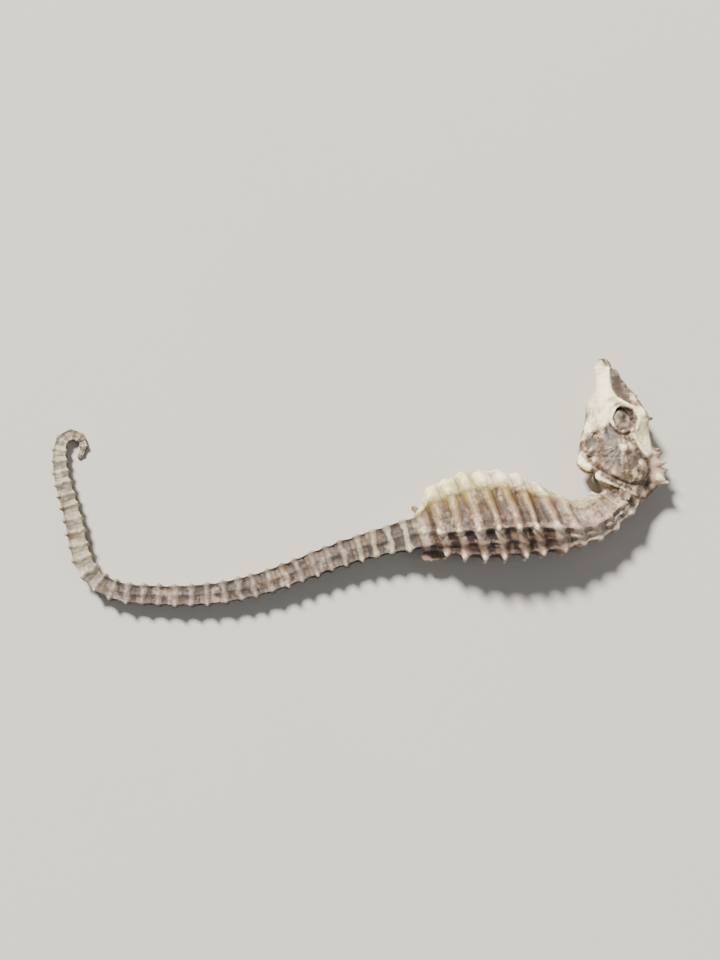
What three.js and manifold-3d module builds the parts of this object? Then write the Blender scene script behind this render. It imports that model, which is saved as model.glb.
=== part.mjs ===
// A dried short-snouted seahorse, life size, lying on its right side with its left side up.
// Millimetres, +Z up, +X from the tail towards the head, +Y from the back towards the belly and snout.
// The origin is the centre of the bounding box at floor level.
//
// The whole animal is one family of flat sections, named by a section number g:
//   g from SNOUT_G to -1  straight head sections, one per millimetre of head
//   g from -1 to NECK_G   the nape, where the sections fan out round a pivot at the throat
//   g above NECK_G        trunk rings 2 to 11 and then tail rings 12 to 49
// From g = 0 on, g is also the ring number: a ring's raised bar is at g + 0.5, its sutures at whole numbers.
import * as THREE from "three";
import { mergeVertices } from "three/addons/utils/BufferGeometryUtils.js";
import Module from "manifold-3d";

const wasm = await Module();
wasm.setup();

// ---- driving dimensions ----
const HEAD_LENGTH = 10.7; // throat pivot to snout tip, along the head
const HEAD_AXIS = 3.2; // height of the head's own axis above the throat line
const SNOUT_START = 7.5;
const TRUNK_RINGS = 11;
const TAIL_RINGS = 38;
const TRUNK_PITCH = 1.62;
const TAIL_PITCH = 1.33;
const TAIL_TIP_PITCH = 0.7;
const FULL_PITCH_RINGS = 20; // tail rings before their length begins to shrink
const PARTING = 0.06; // thin cut between neighbouring lengths
const FIN_THICKNESS = 0.5;
const FIN_ROOT = 0.8; // how far a middle fin reaches down before it is trimmed to the skin
const PECTORAL_STALK = 0.2;
const PECTORAL_ROOT = [-0.5, 2.7, 1.5]; // along, up and left in the head's frame
const PECTORAL_TURN = 120;
const PECTORAL_TILT = 15;
const EYE_RADIUS = 0.86;
const EYE_DEPTH = 0.62;
const SOCKET_CLEARANCE = 0.06;
const RIM_HEIGHT = 1.5;
const CROWN_CUT = 5.25; // height of the parting between head and coronet
const TAIL_CUTS = [11, 14, 18, 22, 26, 30, 33, 36, 39, 42, 44.5, 47, 49];

const NECK_G = 2;
const TAIL_G = TRUNK_RINGS;
const TIP_G = TRUNK_RINGS + TAIL_RINGS;
const SNOUT_G = -1 - HEAD_LENGTH;
const THROAT = new THREE.Vector2(14.5, 3.5); // pivot of the nape's fan of sections
const HEAD_TILT = 12; // degrees from +X to the dorsal direction of the head's sections
const FAN_STEP = 27; // degrees between neighbouring rings in the nape

// Bends from the neck to the tail tip: [first ring, last ring, turn in degrees, + anticlockwise].
const NECK_HEADING = 270 + HEAD_TILT - FAN_STEP * 3;
const BENDS = [
  [2, 6, -22.5],
  [8.5, 13.5, 16],
  [13.5, 19, 7],
  [19, 30, -25],
  [29.5, 36, -75],
  [35.5, 39.5, 6],
  [39.5, 43.5, -15.5],
  [43, 49, -215],
];

// ---- small helpers ----
const degrees = THREE.MathUtils.degToRad;
const mix = THREE.MathUtils.lerp;
const clamp = THREE.MathUtils.clamp;
const smooth = (t) => THREE.MathUtils.smoothstep(t, 0, 1);
const bump = (x, width) => Math.exp(-((x / width) ** 2));

// A smooth curve through [place, value] pairs, flat beyond both ends.
function keyed(pairs, x) {
  const last = pairs.length - 1;
  if (x <= pairs[0][0]) return pairs[0][1];
  if (x >= pairs[last][0]) return pairs[last][1];
  const i = pairs.findIndex((pair) => x < pair[0]) - 1;
  const slope = (k) => {
    const a = pairs[Math.max(k - 1, 0)];
    const b = pairs[Math.min(k + 1, last)];
    return (b[1] - a[1]) / (b[0] - a[0]);
  };
  const [x0, y0] = pairs[i];
  const [x1, y1] = pairs[i + 1];
  const span = x1 - x0;
  const t = (x - x0) / span;
  const t2 = t * t;
  const t3 = t2 * t;
  return (
    (2 * t3 - 3 * t2 + 1) * y0 +
    (t3 - 2 * t2 + t) * span * slope(i) +
    (3 * t2 - 2 * t3) * y1 +
    (t3 - t2) * span * slope(i + 1)
  );
}

// ---- the line that the sections are strung on ----
const headAlong = new THREE.Vector2(-Math.sin(degrees(HEAD_TILT)), Math.cos(degrees(HEAD_TILT)));
const headDorsal = new THREE.Vector2(Math.cos(degrees(HEAD_TILT)), Math.sin(degrees(HEAD_TILT)));

function ringPitch(g) {
  if (g < TAIL_G - 1) return TRUNK_PITCH;
  if (g < TAIL_G + 1) return mix(TRUNK_PITCH, TAIL_PITCH, (g - TAIL_G + 1) / 2);
  const shrink = (g - TAIL_G - FULL_PITCH_RINGS) / (TAIL_RINGS - FULL_PITCH_RINGS);
  return mix(TAIL_PITCH, TAIL_TIP_PITCH, clamp(shrink, 0, 1));
}

const heading = (g) =>
  BENDS.reduce((sum, [from, to, turn]) => sum + turn * smooth((g - from) / (to - from)), NECK_HEADING);

const HEAD_MIDDLE = 2.05; // height of the head's middle plane
const NAPE_REACH = [[-1, HEAD_AXIS], [0, 2.6], [1, 2.35], [2, 2.45]];

// The body's line, walked from the neck to the tail tip in small steps.
const STEPS_PER_RING = 40;
const walked = [];
{
  const fan = degrees(HEAD_TILT - FAN_STEP * 3);
  const start = new THREE.Vector2(Math.cos(fan), Math.sin(fan)).multiplyScalar(NAPE_REACH.at(-1)[1]);
  const here = THROAT.clone().add(start);
  for (let i = 0; i <= (TIP_G - NECK_G + 1) * STEPS_PER_RING; i++) {
    walked.push(here.clone());
    const g = NECK_G + (i + 0.5) / STEPS_PER_RING;
    const step = ringPitch(g) / STEPS_PER_RING;
    const angle = degrees(heading(g));
    here.x += step * Math.cos(angle);
    here.y += step * Math.sin(angle);
  }
}

// Ring planes lean, so that their belly side lies nearer to the tail.
const LEAN = [[2, 0], [3, 7], [5, 17], [9, 17], [11, 10], [13, 0]];

function place(g) {
  const height = keyed(MIDDLE_HEIGHT, Math.max(g, SNOUT_G));
  if (g <= -1) {
    const centre = THROAT.clone().addScaledVector(headAlong, -1 - g).addScaledVector(headDorsal, HEAD_AXIS);
    return { centre, dorsal: headDorsal.clone(), height };
  }
  if (g <= NECK_G) {
    const fan = degrees(HEAD_TILT - FAN_STEP * (g + 1));
    const dorsal = new THREE.Vector2(Math.cos(fan), Math.sin(fan));
    return { centre: THROAT.clone().addScaledVector(dorsal, keyed(NAPE_REACH, g)), dorsal, height };
  }
  const at = (g - NECK_G) * STEPS_PER_RING;
  const i = Math.min(Math.floor(at), walked.length - 2);
  const centre = walked[i].clone().lerp(walked[i + 1], at - i);
  const turned = degrees(heading(g) + 90 + keyed(LEAN, g));
  return { centre, dorsal: new THREE.Vector2(Math.cos(turned), Math.sin(turned)), height };
}

// A point of section g from its offsets along the dorsal direction and to the animal's left.
function pointOf(g, dorsalOffset, leftOffset) {
  const { centre, dorsal, height } = place(g);
  const flat = centre.addScaledVector(dorsal, dorsalOffset);
  return new THREE.Vector3(flat.x, flat.y, height + leftOffset);
}

// ---- trunk and tail sections ----
const BACK = [[0, 1.8], [1, 1.45], [2, 1.6], [3.6, 1.85], [5.2, 2.1], [7, 2.5], [8.9, 2.65], [10.6, 2.2],
  [11.5, 1.6], [12.5, 1.4], [14, 1.22], [17, 1.1], [22, 1.0], [28, 0.86], [36, 0.8], [41, 0.68], [46, 0.42],
  [49, 0.16]];
const BELLY = [[0, 2.5], [1, 2.25], [2, 2.3], [2.8, 2.2], [3.9, 3.6], [4.9, 4.5], [6, 5.1], [7, 5.28],
  [8.4, 5.0], [9.5, 4.3], [10.5, 3.55], [11.1, 2.5], [11.7, 1.6], [14, 1.2], [17, 1.08], [22, 0.98],
  [28, 0.86], [36, 0.8], [41, 0.68], [46, 0.42], [49, 0.16]];
const FLANK = [[0, 1.75], [2, 1.95], [4, 2.4], [6.5, 2.7], [8.5, 2.6], [10.5, 2.05], [12, 1.52], [16, 1.2],
  [23, 1.0], [32, 0.86], [39, 0.74], [45, 0.5], [48, 0.26], [49, 0.16]];

// Lengthwise ridges from the middle of the back to the middle of the belly. Depth runs from 0 at the back
// to 1 at the belly and width from 0 in the middle to 1 at the flank, in the trunk and in the tail.
// Spine is the height of a ridge's spine on each ring bar, there and there.
const RIDGES = [
  { name: "mid back", trunk: [0.05, 0], tail: [0.07, 0], spine: [0, 0] },
  { name: "superior trunk", trunk: [0.02, 0.56], tail: [0.04, 0.5], spine: [0.34, 0] },
  { name: "superior tail", trunk: [0.16, 0.8], tail: [0.03, 0.9], spine: [0, 0.2] },
  { name: "lateral trunk", trunk: [0.32, 1], tail: [0.5, 0.92], spine: [0.26, 0] },
  { name: "inferior", trunk: [0.79, 0.68], tail: [0.97, 0.88], spine: [0.14, 0.08] },
  { name: "keel", trunk: [1, 0], tail: [0.93, 0], spine: [0.08, 0] },
];
const FACE_BULGE = [[-0.06, -0.03], [-0.03, -0.03], [-0.03, -0.03], [0.2, -0.03], [0.32, -0.03]];
const PIT_DEPTH = [[0, 0.12], [2, 0.18], [7, 0.22], [12, 0.16], [30, 0.1], [49, 0.02]];
const BAR_WIDTH = 0.24; // of a ring's length
const RIDGE_WIDTH = 0.3;
const SPINE_FADE = [[11, 1], [49, 0.12]]; // spines shrink towards the tip
const FLAT_DEPTH = 0.09; // how far the lowest spines are worn flat

const tailShare = (g) => smooth((g - 10) / 2.6);

function ridgeAt(g, j) {
  const ridge = RIDGES[j];
  const share = tailShare(g);
  const back = keyed(BACK, g);
  const depth = mix(ridge.trunk[0], ridge.tail[0], share);
  const width = mix(ridge.trunk[1], ridge.tail[1], share);
  return new THREE.Vector2(back - depth * (back + keyed(BELLY, g)), width * keyed(FLANK, g));
}

// Height of the surface over its plain outline: bars and ridges stand, the plates between them are sunk.
function relief(g, face, faceLength) {
  const share = tailShare(g);
  const fromBar = g - Math.floor(g) - 0.5;
  const bar = bump(fromBar, BAR_WIDTH);
  const j = Math.min(Math.floor(face), RIDGES.length - 2);
  const t = face - j;
  const nearest = t < 0.5 ? j : j + 1;
  const crest = bump(Math.min(t, 1 - t) * faceLength, RIDGE_WIDTH);
  const spine = mix(RIDGES[nearest].spine[0], RIDGES[nearest].spine[1] * keyed(SPINE_FADE, g), share);
  const pit = keyed(PIT_DEPTH, g) * (1 - bar) * (1 - 0.35 * crest);
  return spine * bar * crest - pit;
}

// A point of a body section: face 0 is the middle of the back, face 5 the middle of the belly.
function bodyOffsets(g, face) {
  const j = Math.min(Math.floor(face), RIDGES.length - 2);
  const t = face - j;
  const a = ridgeAt(g, j);
  const b = ridgeAt(g, j + 1);
  const along = b.clone().sub(a);
  const length = along.length();
  const outward = new THREE.Vector2(-along.y, along.x).divideScalar(Math.max(length, 1e-6)).negate();
  if (face === 0) outward.set(1, 0);
  if (face === RIDGES.length - 1) outward.set(-1, 0);
  if (outward.y < 0) outward.negate();
  const bulge = mix(FACE_BULGE[j][0], FACE_BULGE[j][1], tailShare(g)) * 4 * t * (1 - t);
  const swell = smooth((g - 1) / 3) * (1 - smooth((g - 10) / 1.5));
  const out = bulge * (bulge > 0 ? swell : 1) + relief(g, face, length);
  return a.addScaledVector(along, t).addScaledVector(outward, out);
}

// Height of the animal's middle plane: half of its width, as it lies on one side.
const MIDDLE_HEIGHT = [[SNOUT_G, HEAD_MIDDLE], [-1, HEAD_MIDDLE]];
for (let ring = 1; ring < TIP_G; ring++) {
  const faces = RIDGES.map((_, j) => bodyOffsets(ring + 0.5, j).y);
  MIDDLE_HEIGHT.push([ring + 0.5, Math.max(...faces) - FLAT_DEPTH]);
}

// ---- the head, as one rounded solid blended from simple forms ----
// Head places are [along, up, left] in millimetres from the throat pivot.
const EYE = [5.25, 3.88, 1.12];
const FORMS = [
  { name: "snout", blend: 0.4, radii: [1.35, 0.62], squeeze: 0.84, a: [7.2, 3.45, 0], b: [9.9, 3.33, 0] },
  { name: "snout tip", blend: 0.3, radii: [0.7, 0.7], squeeze: 0.84, a: [9.95, 3.3, 0], b: [10.05, 3.33, 0] },
  { name: "nose bridge", blend: 0.4, radii: [0.3, 0.5], squeeze: 1, a: [9.3, 4.1, 0], b: [7.0, 4.85, 0] },
  { name: "braincase", blend: 0.7, radii: [2.0, 1.65], squeeze: 0.8, a: [1.9, 3.6, 0], b: [5.6, 4.05, 0] },
  { name: "nape", blend: 0.7, radii: [1.75, 2.1], squeeze: 0.8, a: [-0.9, 2.5, 0], b: [1.1, 3.3, 0] },
  { name: "gill cover", blend: 0.35, radii: [1.7, 1.5], squeeze: 0.6, a: [1.3, 2.35, 1], b: [2.6, 2.7, 1] },
  { name: "cheek", blend: 0.5, radii: [1.05, 0.8], squeeze: 0.7, a: [4.0, 2.1, 0.6], b: [7.0, 2.7, 0.35] },
  { name: "throat", blend: 0.6, radii: [1.05, 0.85], squeeze: 0.8, a: [2.4, 0.5, 0], b: [6.7, 2.0, 0] },
  { name: "orbit", blend: 0.4, radii: [1.35, 1.3], squeeze: 0.6, a: [5.15, 3.9, 0.85], b: [5.35, 3.9, 0.85] },
  { name: "brow", blend: 0.35, radii: [0.4, 0.55], squeeze: 1, a: [7.3, 4.85, 0.15], b: [5.0, 5.5, 0.75] },
  { name: "crown", blend: 0.5, radii: [0.5, 0.55], squeeze: 1, a: [4.9, 5.35, 0.6], b: [2.1, 5.2, 0.45] },
  { name: "coronet", blend: 0.4, radii: [0.6, 0.85], squeeze: 0.85, a: [2.1, 5.55, 0], b: [0.1, 5.55, 0] },
  { name: "nape crest", blend: 0.4, radii: [0.45, 0.5], squeeze: 0.9, a: [-0.4, 5.6, 0], b: [-1.25, 4.2, 0] },
];
const HEAD_SPINES = [
  { name: "nose spine", a: [6.9, 4.85, 0], b: [7.05, 5.7, 0], radius: 0.36 },
  { name: "eye spine", a: [5.0, 5.4, 0.8], b: [4.75, 6.35, 1.1], radius: 0.42 },
  { name: "front cheek spine", a: [4.9, 1.7, 0.9], b: [4.6, 0.8, 1.3], radius: 0.36 },
  { name: "rear cheek spine", a: [3.4, 1.0, 0.7], b: [2.9, 0.1, 1.15], radius: 0.36 },
  { name: "front crown point", a: [2.1, 5.7, 0], b: [2.3, 6.6, 0], radius: 0.46 },
  { name: "side crown point", a: [1.1, 5.7, 0.4], b: [0.95, 6.8, 0.9], radius: 0.46 },
  { name: "rear crown point", a: [0.0, 5.5, 0.3], b: [-0.8, 6.65, 0.55], radius: 0.46 },
];

// Distance from p to the slanted round cone from a to b, which is squeezed sideways about its own line.
function coneDistance(p, { a, b, radii, squeeze = 1 }) {
  const s = 1 / squeeze;
  const ab = [b[0] - a[0], b[1] - a[1], (b[2] - a[2]) * s];
  const ap = [p[0] - a[0], p[1] - a[1], (p[2] - a[2]) * s];
  const dot = ap[0] * ab[0] + ap[1] * ab[1] + ap[2] * ab[2];
  const t = clamp(dot / (ab[0] ** 2 + ab[1] ** 2 + ab[2] ** 2), 0, 1);
  const gap = Math.hypot(ap[0] - t * ab[0], ap[1] - t * ab[1], ap[2] - t * ab[2]);
  return (gap - mix(radii[0], radii[1], t)) * squeeze;
}

function blended(a, b, k) {
  const h = Math.max(k - Math.abs(a - b), 0) / k;
  return Math.min(a, b) - (h * h * k) / 4;
}

// Negative inside the head. Both sides are alike, so only |left| counts.
function headField(p) {
  const q = [p[0], p[1], Math.abs(p[2])];
  return FORMS.reduce((field, form) => blended(field, coneDistance(q, form), form.blend), 1e3);
}

// Where the ray from a section's middle, at an angle from the back towards the left, leaves the head.
const RAY_REACH = 5.5;
const RAY_STEPS = 110;
function headOffsets(g, angle) {
  const along = [Math.cos(angle), Math.sin(angle)];
  const { centre, dorsal } = place(g);
  const field = (r) => {
    const x = centre.x + dorsal.x * along[0] * r - THROAT.x;
    const y = centre.y + dorsal.y * along[0] * r - THROAT.y;
    return headField([
      x * headAlong.x + y * headAlong.y,
      x * headDorsal.x + y * headDorsal.y,
      along[1] * r,
    ]);
  };
  const step = RAY_REACH / RAY_STEPS;
  let inner = RAY_REACH;
  while (inner > step && field(inner) > 0) inner -= step;
  let outer = inner + step;
  for (let i = 0; i < 12; i++) {
    const middle = (inner + outer) / 2;
    if (field(middle) > 0) outer = middle;
    else inner = middle;
  }
  const reach = Math.max(inner, 0.1);
  return new THREE.Vector2(along[0] * reach, along[1] * reach);
}

// ---- closed meshes ----
// Joins rings of points, each listed round the same way, and closes both ends with a fan.
function loft(rings) {
  const count = rings[0].length;
  const points = rings.flat();
  const index = [];
  for (let i = 0; i + 1 < rings.length; i++) {
    for (let k = 0; k < count; k++) {
      const a = i * count + k;
      const b = i * count + ((k + 1) % count);
      index.push(a, b, b + count, a, b + count, a + count);
    }
  }
  for (const [first, flip] of [[0, true], [(rings.length - 1) * count, false]]) {
    const middle = points.slice(first, first + count).reduce((sum, p) => sum.add(p), new THREE.Vector3());
    points.push(middle.divideScalar(count));
    for (let k = 0; k < count; k++) {
      const a = first + k;
      const b = first + ((k + 1) % count);
      index.push(...(flip ? [b, a, points.length - 1] : [a, b, points.length - 1]));
    }
  }
  return new THREE.BufferGeometry().setFromPoints(points).setIndex(index);
}

function solidOf(geometry) {
  const bare = new THREE.BufferGeometry().setAttribute("position", geometry.getAttribute("position"));
  const merged = mergeVertices(bare.setIndex(geometry.index), 1e-4);
  const mesh = new wasm.Mesh({
    numProp: 3,
    vertProperties: new Float32Array(merged.getAttribute("position").array),
    triVerts: new Uint32Array(merged.index.array),
  });
  const solid = new wasm.Manifold(mesh);
  return solid;
}

// The largest closed surface of a solid, without crumbs and sealed hollows.
function outerShell(solid) {
  return solid.decompose().sort((a, b) => b.volume() - a.volume())[0];
}

function geometryOf(solid) {
  const mesh = solid.getMesh();
  const points = new Float32Array(mesh.numVert * 3);
  for (let i = 0; i < mesh.numVert; i++) {
    points.set(mesh.vertProperties.subarray(i * mesh.numProp, i * mesh.numProp + 3), i * 3);
  }
  return new THREE.BufferGeometry()
    .setAttribute("position", new THREE.BufferAttribute(points, 3))
    .setIndex(new THREE.BufferAttribute(mesh.triVerts, 1));
}

// ---- materials ----
const SKIN = new THREE.MeshStandardMaterial({ color: 0x8f7f6c, roughness: 0.62 });
const PALE_SKIN = new THREE.MeshStandardMaterial({ color: 0xb9ab90, roughness: 0.6 });
const MEMBRANE = new THREE.MeshStandardMaterial({ color: 0xa08a6a, roughness: 0.5 });
const DRIED_EYE = new THREE.MeshStandardMaterial({ color: 0x2a2420, roughness: 0.3 });

// ---- lengths of the body ----
const both = (half) => [...half, ...half.slice(1, -1).reverse().map((face) => -face)];
const TRUNK_ROUND = both([0, 0.5, 1, 1.5, 2, 2.5, 3, 3.5, 4, 4.5, 5]);
const TAIL_ROUND = both([0, 2, 3, 4, 5]);

// Sections of a stretch of rings: both its ends, and the steps between them that stand clear of the ends.
function stations(from, to, perRing) {
  const list = [from];
  for (let i = Math.ceil(from * perRing); i <= to * perRing; i++) {
    const g = i / perRing;
    if (g - from > 0.15 && to - g > 0.15) list.push(g);
  }
  return [...list, to];
}

function bodySection(g, round) {
  return round.map((face) => {
    const offsets = bodyOffsets(g, Math.abs(face));
    return pointOf(g, offsets.x, Math.sign(face) * offsets.y);
  });
}

function bodyLength(from, to, perRing, round) {
  const shrink = PARTING / 2 / ringPitch(from);
  return solidOf(loft(stations(from + shrink, to - shrink, perRing).map((g) => bodySection(g, round))));
}

// ---- lengths of the head ----
const HEAD_ROUND = 28;

function headLength(from, to, count) {
  const sections = [];
  for (let i = 0; i <= count; i++) {
    const g = mix(from, to, i / count);
    const ring = [];
    for (let k = 0; k < HEAD_ROUND; k++) {
      const offsets = headOffsets(g, (k / HEAD_ROUND) * 2 * Math.PI);
      ring.push(pointOf(g, offsets.x, offsets.y));
    }
    sections.push(ring);
  }
  return solidOf(loft(sections));
}

// Moves a solid from the head's own frame, x along, y up and z left, to its place.
function inHeadFrame(geometry) {
  const frame = new THREE.Matrix4().makeBasis(
    new THREE.Vector3(headAlong.x, headAlong.y, 0),
    new THREE.Vector3(headDorsal.x, headDorsal.y, 0),
    new THREE.Vector3(0, 0, 1),
  );
  frame.setPosition(THROAT.x, THROAT.y, HEAD_MIDDLE);
  return solidOf(geometry).transform(frame.elements);
}

// A slim cone standing on a, with its point at b, on one side of the head.
function spineSolid({ a, b, radius }, side) {
  const foot = new THREE.Vector3(a[0], a[1], a[2] * side);
  const rise = new THREE.Vector3(b[0], b[1], b[2] * side).sub(foot);
  const length = rise.length();
  const cone = new THREE.ConeGeometry(radius, length, 7);
  cone.translate(0, length / 2, 0);
  const turn = new THREE.Quaternion().setFromUnitVectors(new THREE.Vector3(0, 1, 0), rise.normalize());
  cone.applyQuaternion(turn);
  cone.translate(foot.x, foot.y, foot.z);
  return inHeadFrame(cone);
}

// The eye is a lens-shaped ball; the socket is the same shape, a little larger.
function eyeSolid(side, grow) {
  const ball = new THREE.SphereGeometry(1, 20, 12);
  ball.scale(EYE_RADIUS + grow, EYE_RADIUS + grow, EYE_DEPTH + grow);
  ball.translate(EYE[0], EYE[1], EYE[2] * side);
  return inHeadFrame(ball);
}

function orbitRim(side) {
  const rim = new THREE.TorusGeometry(EYE_RADIUS + 0.16, 0.17, 6, 20);
  rim.translate(EYE[0], EYE[1], RIM_HEIGHT * side);
  return inHeadFrame(rim);
}

let skull = headLength(-1 - SNOUT_START + PARTING / 2, -PARTING / 2, 24);
for (const side of [1, -1]) {
  for (const spine of HEAD_SPINES) {
    if (side === 1 || spine.a[2] !== 0) skull = skull.add(spineSolid(spine, side));
  }
  skull = skull.add(orbitRim(side)).subtract(eyeSolid(side, SOCKET_CLEARANCE));
}
const crownBlock = (grow) => {
  const block = new THREE.BoxGeometry(4.4 + grow, 3, 6);
  block.translate(1, CROWN_CUT + 1.5 - grow / 2, 0);
  return inHeadFrame(block);
};
const coronet = skull.intersect(crownBlock(0));
const head = skull.subtract(crownBlock(PARTING));

const mouth = new THREE.BoxGeometry(0.7, 0.14, 2);
mouth.rotateZ(degrees(-18));
mouth.translate(HEAD_LENGTH - 0.1, 3.5, 0);
const snout = headLength(SNOUT_G + 0.05, -1 - SNOUT_START - PARTING / 2, 9).subtract(inHeadFrame(mouth));

// ---- fins ----
// A thin fan of rays: the foot is narrow, and each ray ends in a small scallop of the rim.
function finSlab(base, root, height, spread, sweep, rays) {
  const outline = new THREE.Shape();
  outline.moveTo(-base / 2, -root);
  outline.lineTo(-base / 2, 0);
  for (let i = 0; i <= rays * 2; i++) {
    const t = i / (rays * 2);
    const angle = Math.PI * mix(0.9, 0.1, t);
    const scallop = 1 - (i % 2 === 0 ? 0.07 : 0);
    const x = Math.cos(angle) * spread * scallop;
    const y = Math.sin(angle) * height * scallop;
    outline.lineTo(x + (sweep * y) / height, y);
  }
  outline.lineTo(base / 2, 0);
  outline.lineTo(base / 2, -root);
  const slab = new THREE.ExtrudeGeometry(outline, { depth: FIN_THICKNESS, bevelEnabled: false });
  return slab.translate(0, 0, -FIN_THICKNESS / 2);
}

// Stands a fin on the body's middle plane: base towards the tail, height away from the body.
function middleFin(slab, g, face) {
  const foot = pointOf(g, bodyOffsets(g, face).x, 0);
  const { dorsal } = place(g);
  const towardsTail = degrees(heading(g));
  const tail = new THREE.Vector3(Math.cos(towardsTail), Math.sin(towardsTail), 0);
  const away = new THREE.Vector3(dorsal.x, dorsal.y, 0).multiplyScalar(face === 0 ? 1 : -1);
  away.addScaledVector(tail, -tail.dot(away)).normalize();
  const basis = new THREE.Matrix4().makeBasis(tail, away, tail.clone().cross(away));
  return { solid: solidOf(slab.applyMatrix4(basis.setPosition(foot))), away };
}

// Lays a fin along one side of the neck, just behind the gill cover, tipped a little away from the skin.
function sideFin(slab, side) {
  slab.rotateX(degrees(-PECTORAL_TILT * side));
  slab.rotateZ(degrees(PECTORAL_TURN));
  slab.translate(...PECTORAL_ROOT.slice(0, 2), PECTORAL_ROOT[2] * side);
  return { solid: inHeadFrame(slab), away: new THREE.Vector3(0, 0, side) };
}

const lengths = [
  ["head", head, PALE_SKIN],
  ["coronet", coronet, PALE_SKIN],
  ["snout", snout, PALE_SKIN],
  ["neck", bodyLength(0, 2, 2, TRUNK_ROUND), SKIN],
  ["chest", bodyLength(2, 6, 4, TRUNK_ROUND), SKIN],
  ["belly", bodyLength(6, 11, 4, TRUNK_ROUND), PALE_SKIN],
];
TAIL_CUTS.slice(1).forEach((to, i) => {
  lengths.push([`tail_${i + 1}`, bodyLength(TAIL_CUTS[i], to, 2, TAIL_ROUND), SKIN]);
});

const fins = [
  ["dorsal_fin", middleFin(finSlab(2.2, FIN_ROOT, 0.85, 1.3, 0.35, 6), 11, 0)],
  ["anal_fin", middleFin(finSlab(0.5, FIN_ROOT, 0.6, 0.35, 0.2, 3), 11.4, 5)],
  ["pectoral_fin_left", sideFin(finSlab(0.5, PECTORAL_STALK, 1.45, 0.75, 0, 5), 1)],
  ["pectoral_fin_right", sideFin(finSlab(0.5, PECTORAL_STALK, 1.45, 0.75, 0, 5), -1)],
];
// A fin is trimmed to the skin, and to the skin moved a hair outward, so that it meets it without overlap.
function trimmed({ solid, away }) {
  let left = solid;
  for (const [, body] of lengths) {
    left = left.subtract(body).subtract(body.translate(away.clone().multiplyScalar(PARTING).toArray()));
  }
  return left;
}

const parts = [
  ...lengths,
  ...fins.map(([name, fin]) => [name, trimmed(fin), MEMBRANE]),
  ["eye_left", eyeSolid(1, 0), DRIED_EYE],
  ["eye_right", eyeSolid(-1, 0), DRIED_EYE],
];

// ---- assembly: nothing below the floor, and the origin under the middle ----
const FLOOR = new THREE.BoxGeometry(200, 200, 10).translate(0, 0, -5);
const floorSolid = solidOf(FLOOR);
const geometries = parts.map(([, solid]) => geometryOf(outerShell(solid.subtract(floorSolid))));
const bounds = new THREE.Box3();
for (const geometry of geometries) {
  geometry.computeBoundingBox();
  bounds.union(geometry.boundingBox);
}
const middle = bounds.getCenter(new THREE.Vector3());

const seahorse = new THREE.Group();
parts.forEach(([name, , material], i) => {
  geometries[i].translate(-middle.x, -middle.y, 0);
  const mesh = new THREE.Mesh(geometries[i], material.clone());
  mesh.name = name;
  seahorse.add(mesh);
});

export default seahorse;
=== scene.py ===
import math

import bmesh
import bpy
import numpy as np
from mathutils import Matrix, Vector


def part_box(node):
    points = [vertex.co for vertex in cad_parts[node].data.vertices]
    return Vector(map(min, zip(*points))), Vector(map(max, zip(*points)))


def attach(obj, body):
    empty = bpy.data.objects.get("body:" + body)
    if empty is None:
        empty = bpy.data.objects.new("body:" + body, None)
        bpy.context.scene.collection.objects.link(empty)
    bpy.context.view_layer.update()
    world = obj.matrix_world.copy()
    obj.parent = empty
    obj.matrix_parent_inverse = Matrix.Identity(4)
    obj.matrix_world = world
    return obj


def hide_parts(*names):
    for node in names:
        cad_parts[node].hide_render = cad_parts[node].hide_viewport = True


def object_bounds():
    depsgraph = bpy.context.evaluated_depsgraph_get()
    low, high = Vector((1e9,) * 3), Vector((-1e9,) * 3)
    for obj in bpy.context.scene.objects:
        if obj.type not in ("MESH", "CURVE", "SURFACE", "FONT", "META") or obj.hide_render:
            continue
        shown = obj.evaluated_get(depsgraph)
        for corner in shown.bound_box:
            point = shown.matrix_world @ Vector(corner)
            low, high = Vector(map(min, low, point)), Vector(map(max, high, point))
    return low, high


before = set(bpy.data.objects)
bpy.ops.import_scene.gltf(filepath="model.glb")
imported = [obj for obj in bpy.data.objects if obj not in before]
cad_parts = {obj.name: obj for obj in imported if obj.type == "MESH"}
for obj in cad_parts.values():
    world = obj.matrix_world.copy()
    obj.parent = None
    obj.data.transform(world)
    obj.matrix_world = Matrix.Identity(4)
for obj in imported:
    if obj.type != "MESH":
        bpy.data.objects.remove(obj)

# A dried seahorse lying on its right side: one skin over the whole body, with thin rayed fins and sunken
# eyes of their own. The body is drawn in millimetres in its own plan and moved onto the frame at the end.
# Sections are named by g: below -1 the straight head, -1 to 2 the nape, then one per ring. On each section,
# a place is given by its dorsal and left offsets, and by its face: 0 at the back, then one per ridge.
MM = 0.001
CAD_BOX = [list(corner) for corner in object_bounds()]

# ---- the body's plan, as its solids have it ----
HEAD_LENGTH = 10.7
HEAD_AXIS = 3.2  # from the throat's line up to the head's own axis
HEAD_MIDDLE = 2.05  # height of the head's middle plane over the table
HEAD_TILT = 12  # degrees from the long axis to the head's dorsal direction
FAN_STEP = 27  # degrees between neighbouring sections of the nape
THROAT = np.array([14.5, 3.5])
TAIL_G = 11
TIP_G = 49
TRUNK_PITCH = 1.62
TAIL_PITCH = 1.33
TIP_PITCH = 0.7
SHRINK_G = 31  # the rings grow shorter from here to the tip
NAPE_REACH = [[-1, HEAD_AXIS], [0, 2.6], [1, 2.35], [2, 2.45]]
BENDS = [[2, 6, -22.5], [8.5, 13.5, 16], [13.5, 19, 7], [19, 30, -25], [29.5, 36, -75], [35.5, 39.5, 6],
         [39.5, 43.5, -15.5], [43, 49, -215]]
LEAN = [[2, 0], [3, 7], [5, 17], [9, 17], [11, 10], [13, 0]]
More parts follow.
